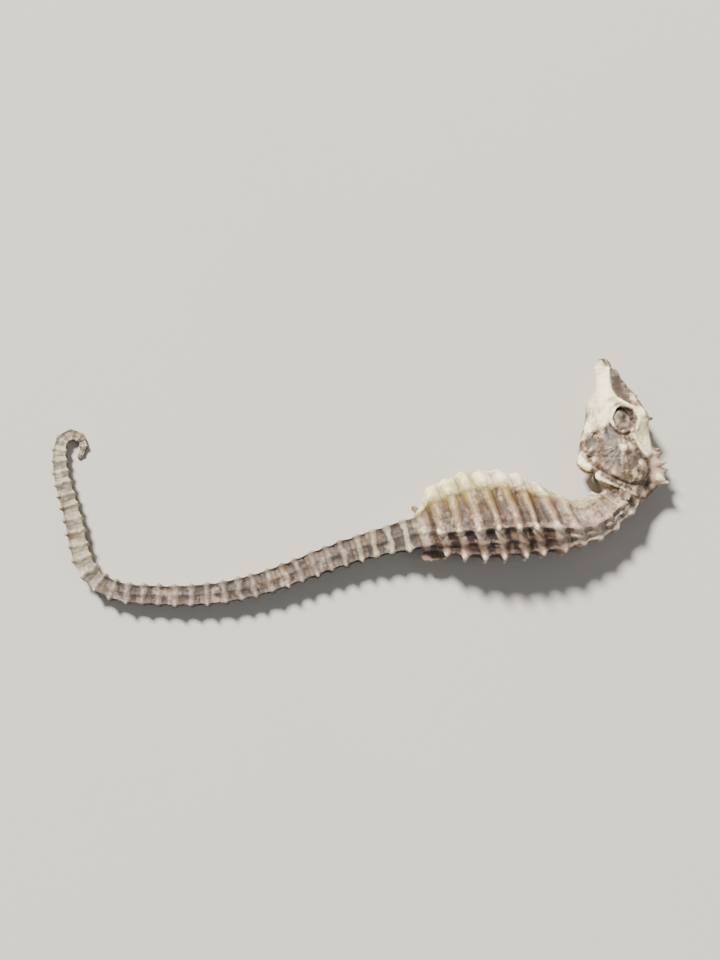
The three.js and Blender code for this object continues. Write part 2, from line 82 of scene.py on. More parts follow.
BACK = [[0, 1.8], [1, 1.45], [2, 1.6], [3.6, 1.85], [5.2, 2.1], [7, 2.5], [8.9, 2.65], [10.6, 2.2],
        [11.5, 1.6], [12.5, 1.4], [14, 1.22], [17, 1.1], [22, 1.0], [28, 0.86], [36, 0.8], [41, 0.68],
        [46, 0.42], [49, 0.16]]
BELLY = [[0, 2.5], [1, 2.25], [2, 2.3], [2.8, 2.2], [3.9, 3.6], [4.9, 4.5], [6, 5.1], [7, 5.28],
         [8.4, 5.0], [9.5, 4.3], [10.5, 3.55], [11.1, 2.5], [11.7, 1.6], [14, 1.2], [17, 1.08],
         [22, 0.98], [28, 0.86], [36, 0.8], [41, 0.68], [46, 0.42], [49, 0.16]]
FLANK = [[0, 1.75], [2, 1.95], [4, 2.4], [6.5, 2.7], [8.5, 2.6], [10.5, 2.05], [12, 1.52], [16, 1.2],
         [23, 1.0], [32, 0.86], [39, 0.74], [45, 0.5], [48, 0.26], [49, 0.16]]
EYE = np.array([5.25, 3.88, 1.12])

# Lengthwise ridges, each in the trunk and in the tail: (depth, width) as shares of the section, then the
# height of the ridge line, and the height of its spine on each ring.
RIDGES = {
    "mid back": ((0.05, 0), (0.07, 0), (0.02, 0.0), (0.0, 0.0)),
    "superior trunk": ((0.02, 0.56), (0.04, 0.5), (0.12, 0.0), (0.3, 0.0)),
    "superior tail": ((0.16, 0.8), (0.03, 0.9), (0.03, 0.09), (0.05, 0.2)),
    "lateral trunk": ((0.32, 1), (0.5, 0.92), (0.14, 0.02), (0.3, 0.0)),
    "inferior": ((0.79, 0.68), (0.97, 0.88), (0.13, 0.09), (0.18, 0.1)),
    "keel": ((1, 0), (0.93, 0), (0.06, 0.0), (0.1, 0.0)),
}
# How far each face between two ridges swells out, in the trunk and in the tail.
FACE_BULGE = [[-0.06, -0.03], [-0.03, -0.03], [-0.03, -0.03], [0.2, -0.03], [0.32, -0.03]]
PIT_DEPTH = [[0, 0.16], [2, 0.24], [7, 0.32], [12, 0.24], [30, 0.19], [41, 0.15], [49, 0.05]]
LINE_SIZE = [[11, 1], [30, 0.85], [43, 0.6], [49, 0.2]]

# ---- how finely the skin is drawn ----
ROUND = 160
HALF = ROUND // 2
HEAD_ROWS = 118
NAPE_ROWS = 20
TRUNK_ROWS = 18
TAIL_ROWS = 13

rng = np.random.default_rng(7)


# ---- curves and noise ----
def keyed(pairs, x):
    """A smooth curve through [place, value] pairs, level beyond both ends."""
    places, values = np.array(pairs, float).T
    last = len(places) - 1
    x = np.clip(x, places[0], places[-1])
    i = np.clip(np.searchsorted(places, x, side="right") - 1, 0, last - 1)
    before = np.maximum(np.arange(last + 1) - 1, 0)
    after = np.minimum(np.arange(last + 1) + 1, last)
    slopes = (values[after] - values[before]) / (places[after] - places[before])
    span = places[i + 1] - places[i]
    t = (x - places[i]) / span
    t2 = t * t
    t3 = t2 * t
    return (
        (2 * t3 - 3 * t2 + 1) * values[i]
        + (t3 - 2 * t2 + t) * span * slopes[i]
        + (3 * t2 - 2 * t3) * values[i + 1]
        + (t3 - t2) * span * slopes[i + 1]
    )


def smooth(t):
    t = np.clip(t, 0, 1)
    return t * t * (3 - 2 * t)


def between(x, low, high):
    """Rises smoothly from 0 at low to 1 at high."""
    return smooth((x - low) / (high - low))


def hump(x, width):
    """A soft bell, 1 at 0."""
    return np.exp(-((x / width) ** 2))


def mix(a, b, t):
    return a + (b - a) * t


def polar(reach, angle):
    return np.stack([reach * np.cos(angle), reach * np.sin(angle)], axis=-1)


def to_line(points, a, b):
    """Distance from points to the line from a to b, and the share of the way along it."""
    line = b - a
    t = np.clip((points - a) @ line / (line @ line), 0, 1)
    return np.linalg.norm(points - a - t[..., None] * line, axis=-1), t


def noise(points, size, seed):
    """Soft random values from -1 to 1 in space, with features of the given size."""
    cell = points / size
    base = np.floor(cell).astype(np.int64)
    t = smooth(cell - base)
    total = np.zeros(points.shape[:-1])
    for corner in np.ndindex(2, 2, 2):
        # large odd numbers scramble the place of each corner into a value that looks random
        x, y, z = np.moveaxis(base + np.array(corner), -1, 0)
        key = x * 73856093 ^ y * 19349663 ^ z * 83492791 ^ seed * 2654435
        key = (key * 2246822519) & 0xFFFFFFFF
        key = ((key ^ (key >> 13)) * 3266489917) & 0xFFFFFFFF
        weight = np.prod(np.where(np.array(corner) == 1, t, 1 - t), axis=-1)
        total += weight * ((key >> 8) % 65536 / 32767.5 - 1)
    return total


# ---- the line that the sections are strung on ----
def aim(degrees):
    return polar(1, np.radians(degrees))


HEAD_DORSAL = aim(HEAD_TILT)
HEAD_ALONG = aim(HEAD_TILT + 90)


def ring_pitch(g):
    tail = mix(TAIL_PITCH, TIP_PITCH, np.clip((g - SHRINK_G) / (TIP_G - SHRINK_G), 0, 1))
    return mix(TRUNK_PITCH, tail, np.clip((g - (TAIL_G - 1)) / 2, 0, 1))


def heading(g):
    """Direction of the body towards the tail, in degrees."""
    turned = sum(turn * between(g, start, end) for start, end, turn in BENDS)
    return 270 + HEAD_TILT - 3 * FAN_STEP + turned


STEPS = 40  # steps in each ring as the line is walked
walk_g = 2 + (np.arange((TIP_G - 1) * STEPS) + 0.5) / STEPS
walk_steps = aim(heading(walk_g)) * (ring_pitch(walk_g) / STEPS)[:, None]
walk_start = THROAT + aim(HEAD_TILT - 3 * FAN_STEP) * NAPE_REACH[-1][1]
WALKED = walk_start + np.vstack([np.zeros((1, 2)), np.cumsum(walk_steps, axis=0)])


def place(g):
    """Middle and dorsal direction of each section in plan."""
    g = np.asarray(g, float)
    fan = HEAD_TILT - FAN_STEP * (np.clip(g, -1, 2) + 1)
    dorsal = aim(np.where(g > 2, heading(g) + 90 + keyed(LEAN, g), fan))
    middle = THROAT + aim(fan) * keyed(NAPE_REACH, g)[..., None]
    middle = middle + HEAD_ALONG * np.maximum(-1 - g, 0)[..., None]
    at = (np.clip(g, 2, None) - 2) * STEPS
    i = np.minimum(np.floor(at).astype(int), len(WALKED) - 2)
    on_line = mix(WALKED[i], WALKED[i + 1], (at - i)[..., None])
    return np.where((g > 2)[..., None], on_line, middle), dorsal


# ---- trunk and tail sections ----
def tail_share(g):
    return between(g, 10, 12.6)


def ridge_table(g):
    """Offsets of every ridge at every section: sections by ridges by (dorsal, left)."""
    trunk, tail = np.array([ridge[:2] for ridge in RIDGES.values()], float).swapaxes(0, 1)
    depth, width = np.moveaxis(mix(trunk, tail, tail_share(g)[:, None, None]), -1, 0)
    back = keyed(BACK, g)[:, None]
    belly = keyed(BELLY, g)[:, None]
    return np.stack([back - depth * (back + belly), width * keyed(FLANK, g)[:, None]], axis=-1)


def even_spread(section, count):
    """Points evenly spaced along each section, with the place of each as a fraction of the old list."""
    steps = np.hypot(*np.moveaxis(np.diff(section, axis=1), -1, 0))
    run = np.concatenate([np.zeros((len(section), 1)), np.cumsum(steps, axis=1)], axis=1)
    old = np.linspace(0, 1, section.shape[1])
    points = np.empty((len(section), count, 2))
    where = np.empty((len(section), count))
    for row in range(len(section)):
        wanted = np.linspace(0, run[row, -1], count)
        where[row] = np.interp(wanted, run[row], old)
        for axis in range(2):
            points[row, :, axis] = np.interp(wanted, run[row], section[row, :, axis])
    return points, where


FACES = len(RIDGES) - 1
FACE_STEPS = 24


def body_sections(g):
    """Half sections from the back over the left side to the belly, and each point's face number."""
    ridges = ridge_table(g)
    t = (np.arange(FACES * FACE_STEPS + 1) / FACE_STEPS)[None, :]
    j = np.minimum(np.floor(t).astype(int), FACES - 1)[0]
    inside = (t[0] - j)[None, :, None]
    a = ridges[:, j]
    b = ridges[:, j + 1]
    along = b - a
    length = np.maximum(np.hypot(along[..., 0], along[..., 1]), 1e-6)
    outward = np.stack([-along[..., 1], along[..., 0]], axis=-1) / -length[..., None]
    outward = np.where((outward[..., 1] < 0)[..., None], -outward, outward)
    share = tail_share(g)[:, None]
    bulge = np.array(FACE_BULGE, float)
    swell = (between(g, 1, 4) * (1 - between(g, 10, 11.5)))[:, None]
    lift = mix(bulge[j, 0], bulge[j, 1], share)
    lift = np.where(lift > 0, lift * swell, lift) * (4 * inside * (1 - inside))[..., 0]
    section = a + along * inside + outward * lift[..., None]
    points, where = even_spread(section, HALF + 1)
    return points, where * FACES


# ---- the head, blended from simple forms ----
# Places are (along, up, left) from the throat pivot. Each form is a round cone from a to b, squeezed
# sideways: (name, blend, squeeze, radius at a, radius at b, a, b).
FORMS = [
    ("snout", 0.4, 0.84, 1.35, 0.62, (7.2, 3.45, 0), (9.9, 3.33, 0)),
    ("snout tip", 0.3, 0.84, 0.7, 0.7, (9.95, 3.3, 0), (10.05, 3.33, 0)),
    ("nose bridge", 0.4, 1, 0.3, 0.5, (9.3, 4.1, 0), (7.0, 4.85, 0)),
    ("braincase", 0.7, 0.8, 2.0, 1.65, (1.9, 3.6, 0), (5.6, 4.05, 0)),
    ("nape", 0.7, 0.8, 1.75, 2.1, (-0.9, 2.5, 0), (1.1, 3.3, 0)),
    ("gill cover", 0.35, 0.6, 1.7, 1.5, (1.3, 2.35, 1), (2.6, 2.7, 1)),
    ("cheek", 0.5, 0.7, 1.05, 0.8, (4.0, 2.1, 0.6), (7.0, 2.7, 0.35)),
    ("throat", 0.6, 0.8, 1.05, 0.85, (2.4, 0.5, 0), (6.7, 2.0, 0)),
    ("orbit", 0.4, 0.6, 1.35, 1.3, (5.15, 3.9, 0.85), (5.35, 3.9, 0.85)),
    ("brow", 0.35, 1, 0.4, 0.55, (7.3, 4.85, 0.15), (5.0, 5.5, 0.75)),
    ("crown", 0.5, 1, 0.5, 0.55, (4.9, 5.35, 0.6), (2.1, 5.2, 0.45)),
    ("coronet", 0.4, 0.85, 0.6, 0.85, (2.1, 5.55, 0), (0.1, 5.55, 0)),
    ("nape crest", 0.4, 0.9, 0.45, 0.5, (-0.4, 5.6, 0), (-1.25, 4.2, 0)),
]
HEAD_SPINES = [
    ("nose spine", 0.25, 1, 0.34, 0.05, (6.9, 4.85, 0), (7.05, 5.65, 0)),
    ("eye spine", 0.25, 1, 0.4, 0.06, (5.0, 5.4, 0.8), (4.75, 6.3, 1.1)),
    ("front cheek spine", 0.25, 1, 0.34, 0.06, (4.9, 1.7, 0.9), (4.6, 0.85, 1.3)),
    ("rear cheek spine", 0.25, 1, 0.34, 0.06, (3.4, 1.0, 0.7), (2.9, 0.15, 1.15)),
    ("front crown point", 0.25, 1, 0.42, 0.06, (2.1, 5.7, 0), (2.3, 6.55, 0)),
    ("second crown point", 0.25, 1, 0.36, 0.06, (1.75, 5.8, 0.35), (1.85, 6.6, 0.75)),
    ("side crown point", 0.25, 1, 0.42, 0.06, (1.1, 5.7, 0.4), (0.95, 6.75, 0.9)),
    ("rear crown point", 0.25, 1, 0.42, 0.06, (0.0, 5.5, 0.3), (-0.75, 6.55, 0.55)),
    ("crown saddle point", 0.25, 1, 0.36, 0.06, (0.55, 5.8, 0.1), (0.35, 6.85, 0.2)),
]
SOCKET = (0.95, 0.72)  # radius and depth
SOCKET_EDGE = 0.14
EYE_REACH = 0.92
EYE_LEAN = 0.75  # the eyeball has sunk towards the snout and the brow
OUTSIDE = 5.5  # every ray starts outside the head
RAY_STEPS = 60


def oval(clock, wobble=0.0):
    """How far the eye's outline reaches in each direction, against a circle."""
    return 1 + 0.08 * np.cos(2 * clock - 0.2) + wobble * np.cos(5 * clock + 1.0)


def cone_field(points, squeeze, radius_a, radius_b, a, b):
    """Distance to one form, below zero inside it."""
    stretch = np.array([1, 1, 1 / squeeze])
    gap, t = to_line(points * stretch, a * stretch, b * stretch)
    return (gap - mix(radius_a, radius_b, t)) * squeeze


def head_field(points, forms):
    """Below zero inside the head; both sides are alike."""
    q = points * [1, 1, 0] + np.abs(points) * [0, 0, 1]
    field = np.full(points.shape[:-1], 50.0)
    for _, blend, squeeze, radius_a, radius_b, a, b in forms:
        form = cone_field(q, squeeze, radius_a, radius_b, a, b)
        h = np.maximum(blend - np.abs(field - form), 0) / blend
        field = np.minimum(field, form) - h * h * blend / 4
    from_eye = q - EYE
    clock = np.arctan2(from_eye[..., 1], from_eye[..., 0])
    across = np.hypot(from_eye[..., 0], from_eye[..., 1]) / (SOCKET[0] * oval(clock, 0.04))
    hole = SOCKET[1] * (1 - np.hypot(across, from_eye[..., 2] / SOCKET[1]))
    h = np.maximum(SOCKET_EDGE - np.abs(field - hole), 0) / SOCKET_EDGE
    return np.maximum(field, hole) + h * h * SOCKET_EDGE / 4


def cast(g, angles, forms):
    """How far the head reaches along rays from its middle, found by moving inwards from outside."""
    middle, dorsal = place(g)
    middle = middle + HEAD_DORSAL * snout_lift(g)[:, None]
    reach = np.full(angles.shape, OUTSIDE)
    for _ in range(RAY_STEPS):
        flat = middle[:, None] + dorsal[:, None] * (reach * np.cos(angles))[..., None] - THROAT
        points = np.stack([flat @ HEAD_ALONG, flat @ HEAD_DORSAL, reach * np.sin(angles)], axis=-1)
        reach = np.maximum(reach - 0.8 * np.maximum(head_field(points, forms), -0.02), 0.02)
    return reach


def snout_lift(g):
    """The snout's tip turns up a little."""
    return 0.13 * (1 - between(g, -11, -9.5))


def settled(values, passes):
    """Softens values from row to row, leaving both ends."""
    for _ in range(passes):
        values[1:-1] = (values[:-2] + 2 * values[1:-1] + values[2:]) / 4
    return values


def head_sections(g):
    """Half sections of the head. The rays are spread evenly over its smooth outline, without spines."""
    angles = np.linspace(0, math.pi, HALF + 41)[None, :] + 0 * g[:, None]
    reach = cast(g, angles, FORMS)
    _, where = even_spread(polar(reach, angles), HALF + 1)
    angles = settled(where, 12) * math.pi
    reach = cast(g, angles, FORMS + HEAD_SPINES)
    return np.stack([reach * np.cos(angles) + snout_lift(g)[:, None], reach * np.sin(angles)], axis=-1)


# ---- the whole skin as one grid ----
# The rows crowd together over the snout's blunt tip.
tip_angles = np.radians(np.linspace(80, 12, 10))
head_rows = np.concatenate([10.05 + 0.7 * np.sin(tip_angles), np.linspace(10.15, 0, HEAD_ROWS)[:-1]])
rows = np.concatenate([
    -1 - head_rows,
    np.arange(-1, 2, 1 / NAPE_ROWS),
    np.arange(2, TAIL_G, 1 / TRUNK_ROWS),
    TAIL_G + np.arange((TIP_G - TAIL_G) * TAIL_ROWS + 1) / TAIL_ROWS,
])
HEAD_REACH = 0.7  # the head's sections are worked out up to here
JOIN = (-0.25, 0.65)  # and turn into the nape's between these places
FIRST_TAIL_ROW = int(np.argmax(rows >= TAIL_G - 1e-9))

body, face = body_sections(rows)
offsets = body.copy()
near_head = rows < HEAD_REACH
head = head_sections(rows[near_head])
join = between(rows[near_head], *JOIN)[:, None]
offsets[near_head] = mix(head, body[near_head], join[..., None])
head_share = np.zeros_like(face)
head_share[near_head] = 1 - join
fraction = np.linspace(0, 1, HALF + 1)[None, :]
girth = mix(face / FACES, fraction, head_share)


def whole_round(half, sign=1):
    """Adds the right side to values of the left side."""
    return np.concatenate([half, sign * half[:, -2:0:-1]], axis=1)


dorsal_offset = whole_round(offsets[..., 0])
left_offset = whole_round(offsets[..., 1], -1)
girth, face, head_share = (whole_round(values) for values in (girth, face, head_share))
for _ in range(2):
    rounding = 1 - 0.9 * head_share
    for values in (dorsal_offset, left_offset):
        softened = (np.roll(values, 1, axis=1) + 2 * values + np.roll(values, -1, axis=1)) / 4
        values += (softened - values) * rounding

# Height of the middle plane over the table: the animal rests on the spines and ridges of its right side.
ring_g = np.arange(1, TIP_G) + 0.5
share = tail_share(ring_g)[:, None]
solid_spines = mix(np.array([0, 0.34, 0, 0.26, 0.14, 0.08]), np.array([0, 0, 0.2, 0, 0.08, 0]), share)
solid_spines = solid_spines * mix(1, keyed([[TAIL_G, 1], [TIP_G, 0.12]], ring_g)[:, None], share)
SIDEWAYS = np.array([0, 0.3, 0.6, 0.97, 0.8, 0])  # how far each ridge's spines point to the side
PRESSED = 0.09
stand = (ridge_table(ring_g)[..., 1] + solid_spines * SIDEWAYS).max(axis=1) - PRESSED
HEIGHTS = [[-1 - HEAD_LENGTH, HEAD_MIDDLE], [-1, HEAD_MIDDLE]] + [[g, h] for g, h in zip(ring_g, stand)]

middle, dorsal = place(rows)
plan = middle[:, None] + dorsal[:, None] * dorsal_offset[..., None]
base = np.dstack([plan, keyed(HEIGHTS, rows)[:, None] + left_offset])


def grid_normals(points):
    """Outward directions of a grid whose columns run round the body."""
    along = np.gradient(points, axis=0)
    round_it = np.roll(points, -1, axis=1) - np.roll(points, 1, axis=1)
    normal = np.cross(round_it, along)
    return normal / np.maximum(np.linalg.norm(normal, axis=-1, keepdims=True), 1e-9)


normals = grid_normals(base)

# ---- relief of the rings: raised bars, ridge lines, spines, sunken plates and fine seams ----
BAR_REACH = (0.235, 0.2)  # half a bar's width in rings, in the trunk and in the tail
CREST_WIDTH = 0.26
SPINE_FOOT = (0.55, 0.42)
SEAM = 0.05  # width and depth of the seam between two rings
STRIAE_HEIGHT = 0.055
FULL_SPINE = 0.28  # a spine this high has a fully pale tip

g = rows[:, None] + 0 * face
side = np.where(np.arange(ROUND) > HALF, 5.0, 0.0) + 0 * g
ring = np.floor(g).astype(int)
ring_count = TIP_G + 4
bar_shift = rng.uniform(-0.05, 0.05, ring_count)
bar_size = rng.uniform(0.75, 1.25, ring_count)
spine_size = rng.uniform(0.45, 1.25, (ring_count, len(RIDGES)))
ring_id = np.clip(ring, 0, ring_count - 1)
across_bar = np.dstack([ring * 3.7, face * 1.5, side])
waver = 0.075 * noise(across_bar, 1.0, 21) + 0.035 * noise(across_bar * [1, 3, 1], 1.0, 22)
from_bar = g - ring - 0.5 - bar_shift[ring_id] - waver
tail = tail_share(g)
pitch = ring_pitch(g)
rings_on = between(g, -0.4, 0.6)
pivot_gap = np.linalg.norm(base[..., :2] - THROAT, axis=-1)
rings_on = rings_on * np.where(g < 3, between(pivot_gap, 0.3, 1.3), 1)

table = ridge_table(rows)
face_lengths = np.linalg.norm(np.diff(table, axis=1), axis=-1)
ridge_run = np.concatenate([np.zeros((len(rows), 1)), np.cumsum(face_lengths, axis=1)], axis=1)
face_id = np.minimum(np.floor(face).astype(int), FACES - 1)
row_index = np.arange(len(rows))[:, None] + 0 * face_id
run = ridge_run[row_index, face_id] + (face - face_id) * face_lengths[row_index, face_id]

bar_reach = mix(*BAR_REACH, tail) * (1 + 0.3 * noise(across_bar, 0.8, 23))
bar = np.exp(-np.abs(from_bar / bar_reach) ** 2.4)
shrink = mix(1, keyed(LINE_SIZE, g), tail)
ridge_crest = np.zeros_like(g)
ridge_lines = np.zeros_like(g)
spines = np.zeros_like(g)
for j, (_, _, line, spine) in enumerate(RIDGES.values()):
    gap = np.abs(run - ridge_run[:, j][:, None])
    line_height = mix(line[0], line[1], tail) * shrink
    spine_height = mix(spine[0], spine[1], tail) * shrink * spine_size[ring_id, j]
    spine_height = spine_height * mix(0.4, 1, between(g, 2, 6))
    crest = hump(gap, CREST_WIDTH * mix(1, 0.75, tail))
    ridge_crest = np.maximum(ridge_crest, crest * np.minimum(line_height / 0.06, 1))
    ridge_lines += line_height * crest * (0.55 + 0.45 * bar)
    foot = mix(*SPINE_FOOT, tail) * np.sqrt(np.maximum(shrink, 0.2))
    reach = np.hypot(from_bar * pitch / 0.85, gap) / foot
    spines += spine_height * smooth(1 - reach) ** 1.3

keel_side = between(face, 3.9, 4.4) * (1 - tail)
pit = keyed(PIT_DEPTH, g) * mix(1, 0.5, keel_side)
plate = (1 - bar) * (1 - 0.45 * ridge_crest)
seam_gap = np.abs(g - np.round(g))
seam = hump(seam_gap * pitch, SEAM) * (1 - 0.4 * ridge_crest)
striae = noise(np.dstack([g * 1.4, face * 9, side]), 1.0, 3)
striae = striae * (1 - bar) * STRIAE_HEIGHT * mix(1, 0.6, tail)
relief = ridge_lines + spines - pit * plate * bar_size[ring_id] - SEAM * seam + striae * (1 - keel_side)
relief *= rings_on
plate_tone = rng.uniform(-1, 1, (ring_count, FACES, 2))[ring_id, face_id, (side > 0).astype(int)]
crest = np.clip(1 - (1 - bar) * (1 - 0.3 * ridge_crest) * 1.08, 0, 1)
crest = mix(np.maximum(crest, spines / 0.25), 0.55, 1 - rings_on)
node = np.clip(spines / FULL_SPINE, 0, 1) * rings_on


# ---- relief of the head and the shoulder girdle ----
def head_places(points):
    """Places in the head's own frame, both sides alike: (along, up, left) from the throat."""
    flat = points[..., :2] - THROAT
    left = np.abs(points[..., 2] - HEAD_MIDDLE)
    return np.stack([flat @ HEAD_ALONG, flat @ HEAD_DORSAL, left], axis=-1)


def line_gap(points, path):
    """Distance from each point to a line through the given places, mostly as seen from the side."""
    from_side = np.array([1, 1, 0.4])
    path = path * from_side
    return np.min([to_line(points * from_side, a, b)[0] for a, b in zip(path[:-1], path[1:])], axis=0)


def spot(radius, centre):
    """A soft round mask on both sides of the head."""
    return hump(np.linalg.norm(at_head - centre, axis=-1), radius)


# Ridges stand out and grooves are sunk: (name, height, width, path).
HEAD_LINES = [
    ("girdle ridge", 0.2, 0.17, [
        (2.75, -0.65, 0.6), (0.9, 0.7, 1.3), (-0.05, 1.9, 1.8), (-0.9, 3.1, 1.7), (-1.6, 4.1, 1.1),
    ]),
    ("second girdle ridge", 0.13, 0.14, [(0.6, -0.2, 1.1), (-0.7, 1.3, 1.7), (-1.7, 2.6, 1.6)]),
    ("gill slit", -0.2, 0.14, [
        (3.3, -0.3, 0.6), (1.6, 0.7, 1.3), (0.35, 2.1, 1.8), (-0.3, 3.2, 1.7), (-0.5, 4.3, 1.3),
    ]),
    ("gill cover edge", 0.05, 0.16, [
        (3.5, 1.3, 1.3), (2.0, 1.05, 1.6), (0.75, 2.1, 1.9), (0.5, 3.4, 1.8), (1.3, 4.3, 1.6),
    ]),
    ("gill cover rib", 0.045, 0.12, [(3.6, 3.1, 1.7), (2.6, 2.75, 1.9), (1.4, 2.2, 1.9), (0.8, 1.8, 1.8)]),
    ("gill cover crease", -0.1, 0.11, [
        (2.5, 1.3, 1.5), (2.15, 2.3, 1.9), (2.1, 3.4, 1.9), (2.35, 4.4, 1.5),
    ]),
    ("brow ridge", 0.18, 0.16, [
        (9.7, 3.65, 0.5), (8.6, 3.4, 0.8), (7.8, 3.4, 0.95), (7.05, 3.7, 1.05), (6.45, 4.35, 1.05),
        (5.9, 4.95, 1.05), (5.0, 5.15, 1.05), (4.2, 4.8, 1.2),
    ]),
    ("temple ridge", 0.14, 0.17, [(4.1, 4.3, 1.4), (3.0, 4.6, 1.3), (1.9, 5.0, 1.0)]),
    ("cheek ridge", 0.08, 0.2, [(8.6, 2.8, 0.6), (7.1, 2.4, 0.85), (5.6, 2.1, 1.05), (4.4, 1.9, 1.1)]),
    ("cheek crease", -0.06, 0.1, [(6.3, 2.9, 1.1), (5.2, 2.5, 1.2), (4.1, 2.4, 1.3)]),
    ("jaw line", -0.08, 0.1, [(9.4, 2.75, 0.5), (7.6, 2.0, 0.6), (6.2, 1.5, 0.7), (4.6, 1.0, 0.8)]),
    ("nose keel", 0.08, 0.16, [(9.5, 4.3, 0), (8.2, 4.8, 0.1), (7.0, 5.3, 0.15)]),
]
# Soft dents: (name, depth, radius, place).
HEAD_DENTS = [
    ("nose hollow", 0.2, 0.75, (7.9, 4.2, 0.65)),
    ("hollow before the eye", 0.14, 0.45, (6.7, 3.5, 1.1)),
    ("temple hollow", 0.12, 0.6, (3.4, 5.2, 0.9)),
    ("hollow under the eye", 0.1, 0.55, (5.2, 2.55, 1.3)),
    ("nape hollow", 0.16, 0.8, (-0.6, 4.9, 0.6)),
    ("nostril", 0.12, 0.11, (6.9, 4.25, 0.95)),
]

GILL_STRIAE = 26  # in a full turn
MOUTH_SLANT = 0.3

at_head = head_places(base)
head_along, head_up, head_left = np.moveaxis(at_head, -1, 0)
on_head = 1 - between(g, 1.5, 3)
head_relief = np.zeros_like(g)
painted_line_light = np.zeros_like(g)
# each line also paints light into the colour: raised lines paler as painted highlight, sunk lines greyer as
# painted shade
for _, height, width, path in HEAD_LINES:
    edge = hump(line_gap(at_head, path), width)
    head_relief += height * edge
    painted_line_light += np.clip(height / 0.16, -1, 1) * edge
for _, depth, radius, centre in HEAD_DENTS:
    head_relief -= depth * spot(radius, centre)

eye_gap = np.hypot(head_along - EYE[0], head_up - EYE[1])
eye_side = between(head_left, 0.5, 0.8)
eye_clock = np.arctan2(head_up - EYE[1], head_along - EYE[0])
eye_oval = oval(eye_clock, 0.03)
rim = hump(eye_gap - 1.08 * eye_oval, 0.14) * eye_side
rim = rim * (0.75 - 0.35 * np.cos(eye_clock - 0.6)) * (1 + 0.5 * noise(base, 0.6, 31))
head_relief += 0.18 * rim
in_socket = (1 - between(eye_gap / eye_oval, 0.82, 1.02)) * eye_side
front_rim = rim * smooth(0.6 + 0.6 * np.cos(eye_clock + 0.5))

# fine striae fan out over the gill cover
gill = np.hypot(head_along - 1.9, head_up - 2.6)
gill_angle = np.arctan2(head_up - 3.3, head_along - 3.2)
on_gill = (1 - between(gill, 1.2, 1.8)) * between(head_left, 0.6, 1.6)
head_relief += 0.035 * np.cos(gill_angle * GILL_STRIAE) * on_gill

# the mouth is a slanting cut between two low lips at the snout's tip
from_mouth = (head_up - 3.42) * math.cos(MOUTH_SLANT) + (head_along - 10.6) * math.sin(MOUTH_SLANT)
at_mouth = between(head_along, 9.75, 10.05)
mouth = hump(from_mouth, 0.055) * at_mouth
lips = hump(np.abs(from_mouth) - 0.17, 0.1) * at_mouth
head_relief += 0.05 * lips - 0.16 * mouth

head_relief *= on_head

# ---- wrinkles, dents and grain of shrunken skin ----
grain = (
    0.06 * noise(base, 2.4, 11)
    + 0.045 * noise(base * [1, 1, 1.2], 0.9, 12)
    + 0.03 * noise(base, 0.42, 13)
    + 0.014 * noise(base, 0.2, 14)
)
net = np.clip(1 - np.abs(noise(base, 0.85, 15)) / 0.16, 0, 1) * between(noise(base, 1.6, 16), -0.6, 0.4)
grain -= 0.035 * net * on_head
size_share = np.clip(keyed(FLANK, g) / 1.6, 0.25, 1)
total = (relief * (1 - head_share) + head_relief + grain * size_share) * (1 - 0.8 * in_socket)
skin_points = base + normals * total[..., None]

tip = skin_points[0].mean(axis=0) + np.array([*HEAD_ALONG * 0.02, 0])
tail_end = skin_points[-1].mean(axis=0) + np.array([*aim(heading(TIP_G)) * 0.12, 0])


# ---- tones of the skin, as soft masks ----
# Cream patches of the head: (name, amount, radius, place).
CREAM = [
    ("snout", 1.2, 1.1, (9.4, 2.7, 0.5)),
    ("front of the cheek", 1.5, 1.2, (7.2, 2.3, 0.8)),
    ("throat edge", 1.0, 0.5, (2.9, -0.2, 0.5)),
    ("throat corner", 1.0, 0.5, (2.0, 0.0, 1.0)),
    ("lower jaw edge", 0.9, 0.7, (5.2, 1.0, 0.6)),
    ("below the eye", 0.7, 0.6, (5.6, 2.2, 1.1)),
    ("brow", 1.0, 0.5, (5.6, 5.3, 0.9)),
    ("behind the eye", 1.4, 0.85, (4.0, 5.4, 1.0)),
    ("crown", 0.8, 0.8, (2.4, 5.4, 0.7)),
    ("gill cover centre", 0.85, 0.4, (2.9, 3.3, 1.9)),
    ("gill cover rear edge", 0.9, 0.3, (1.25, 0.95, 1.3)),
    ("gill cover upper rear", 0.6, 0.4, (1.3, 4.5, 1.5)),
    ("temple spot", 0.7, 0.34, (0.45, 3.8, 1.7)),
    ("rear crown spot", 1.0, 0.35, (-0.1, 5.8, 0.7)),
    ("coronet tips", 0.7, 0.6, (0.9, 6.8, 0.6)),
    ("rear tip", 0.7, 0.4, (-0.7, 6.5, 0.5)),
]
# Grey patches: the head's own grey on the gill cover, and painted shade in its hollows, beside the snout and
# under its points: (name, amount, radius, place).
SMOKE_AND_SHADE = [
    ("side of the snout", 1.4, 0.62, (9.3, 4.1, 0.4)),
    ("nose hollow", 1.6, 0.7, (8.4, 4.2, 0.5)),
    ("nose bridge", 1.4, 0.7, (7.5, 4.4, 0.5)),
    ("before the eye", 0.9, 0.45, (6.8, 4.3, 1.0)),
    ("lower gill cover", 1.0, 0.9, (2.2, 1.9, 1.8)),
    ("upper gill cover", 0.9, 0.9, (1.6, 3.9, 1.8)),
    ("gap in the throat edge", 1.3, 0.42, (3.8, 0.8, 1.0)),
    ("under the eye", 1.0, 0.6, (4.1, 2.8, 1.5)),
    ("temple", 0.6, 0.5, (3.2, 4.2, 1.5)),
    ("under the rear crown point", 1.0, 0.35, (-0.65, 5.5, 0.5)),
    ("root of the coronet", 0.8, 0.5, (0.6, 4.9, 1.0)),
    ("nape", 0.6, 0.9, (-1.2, 3.6, 1.4)),
]
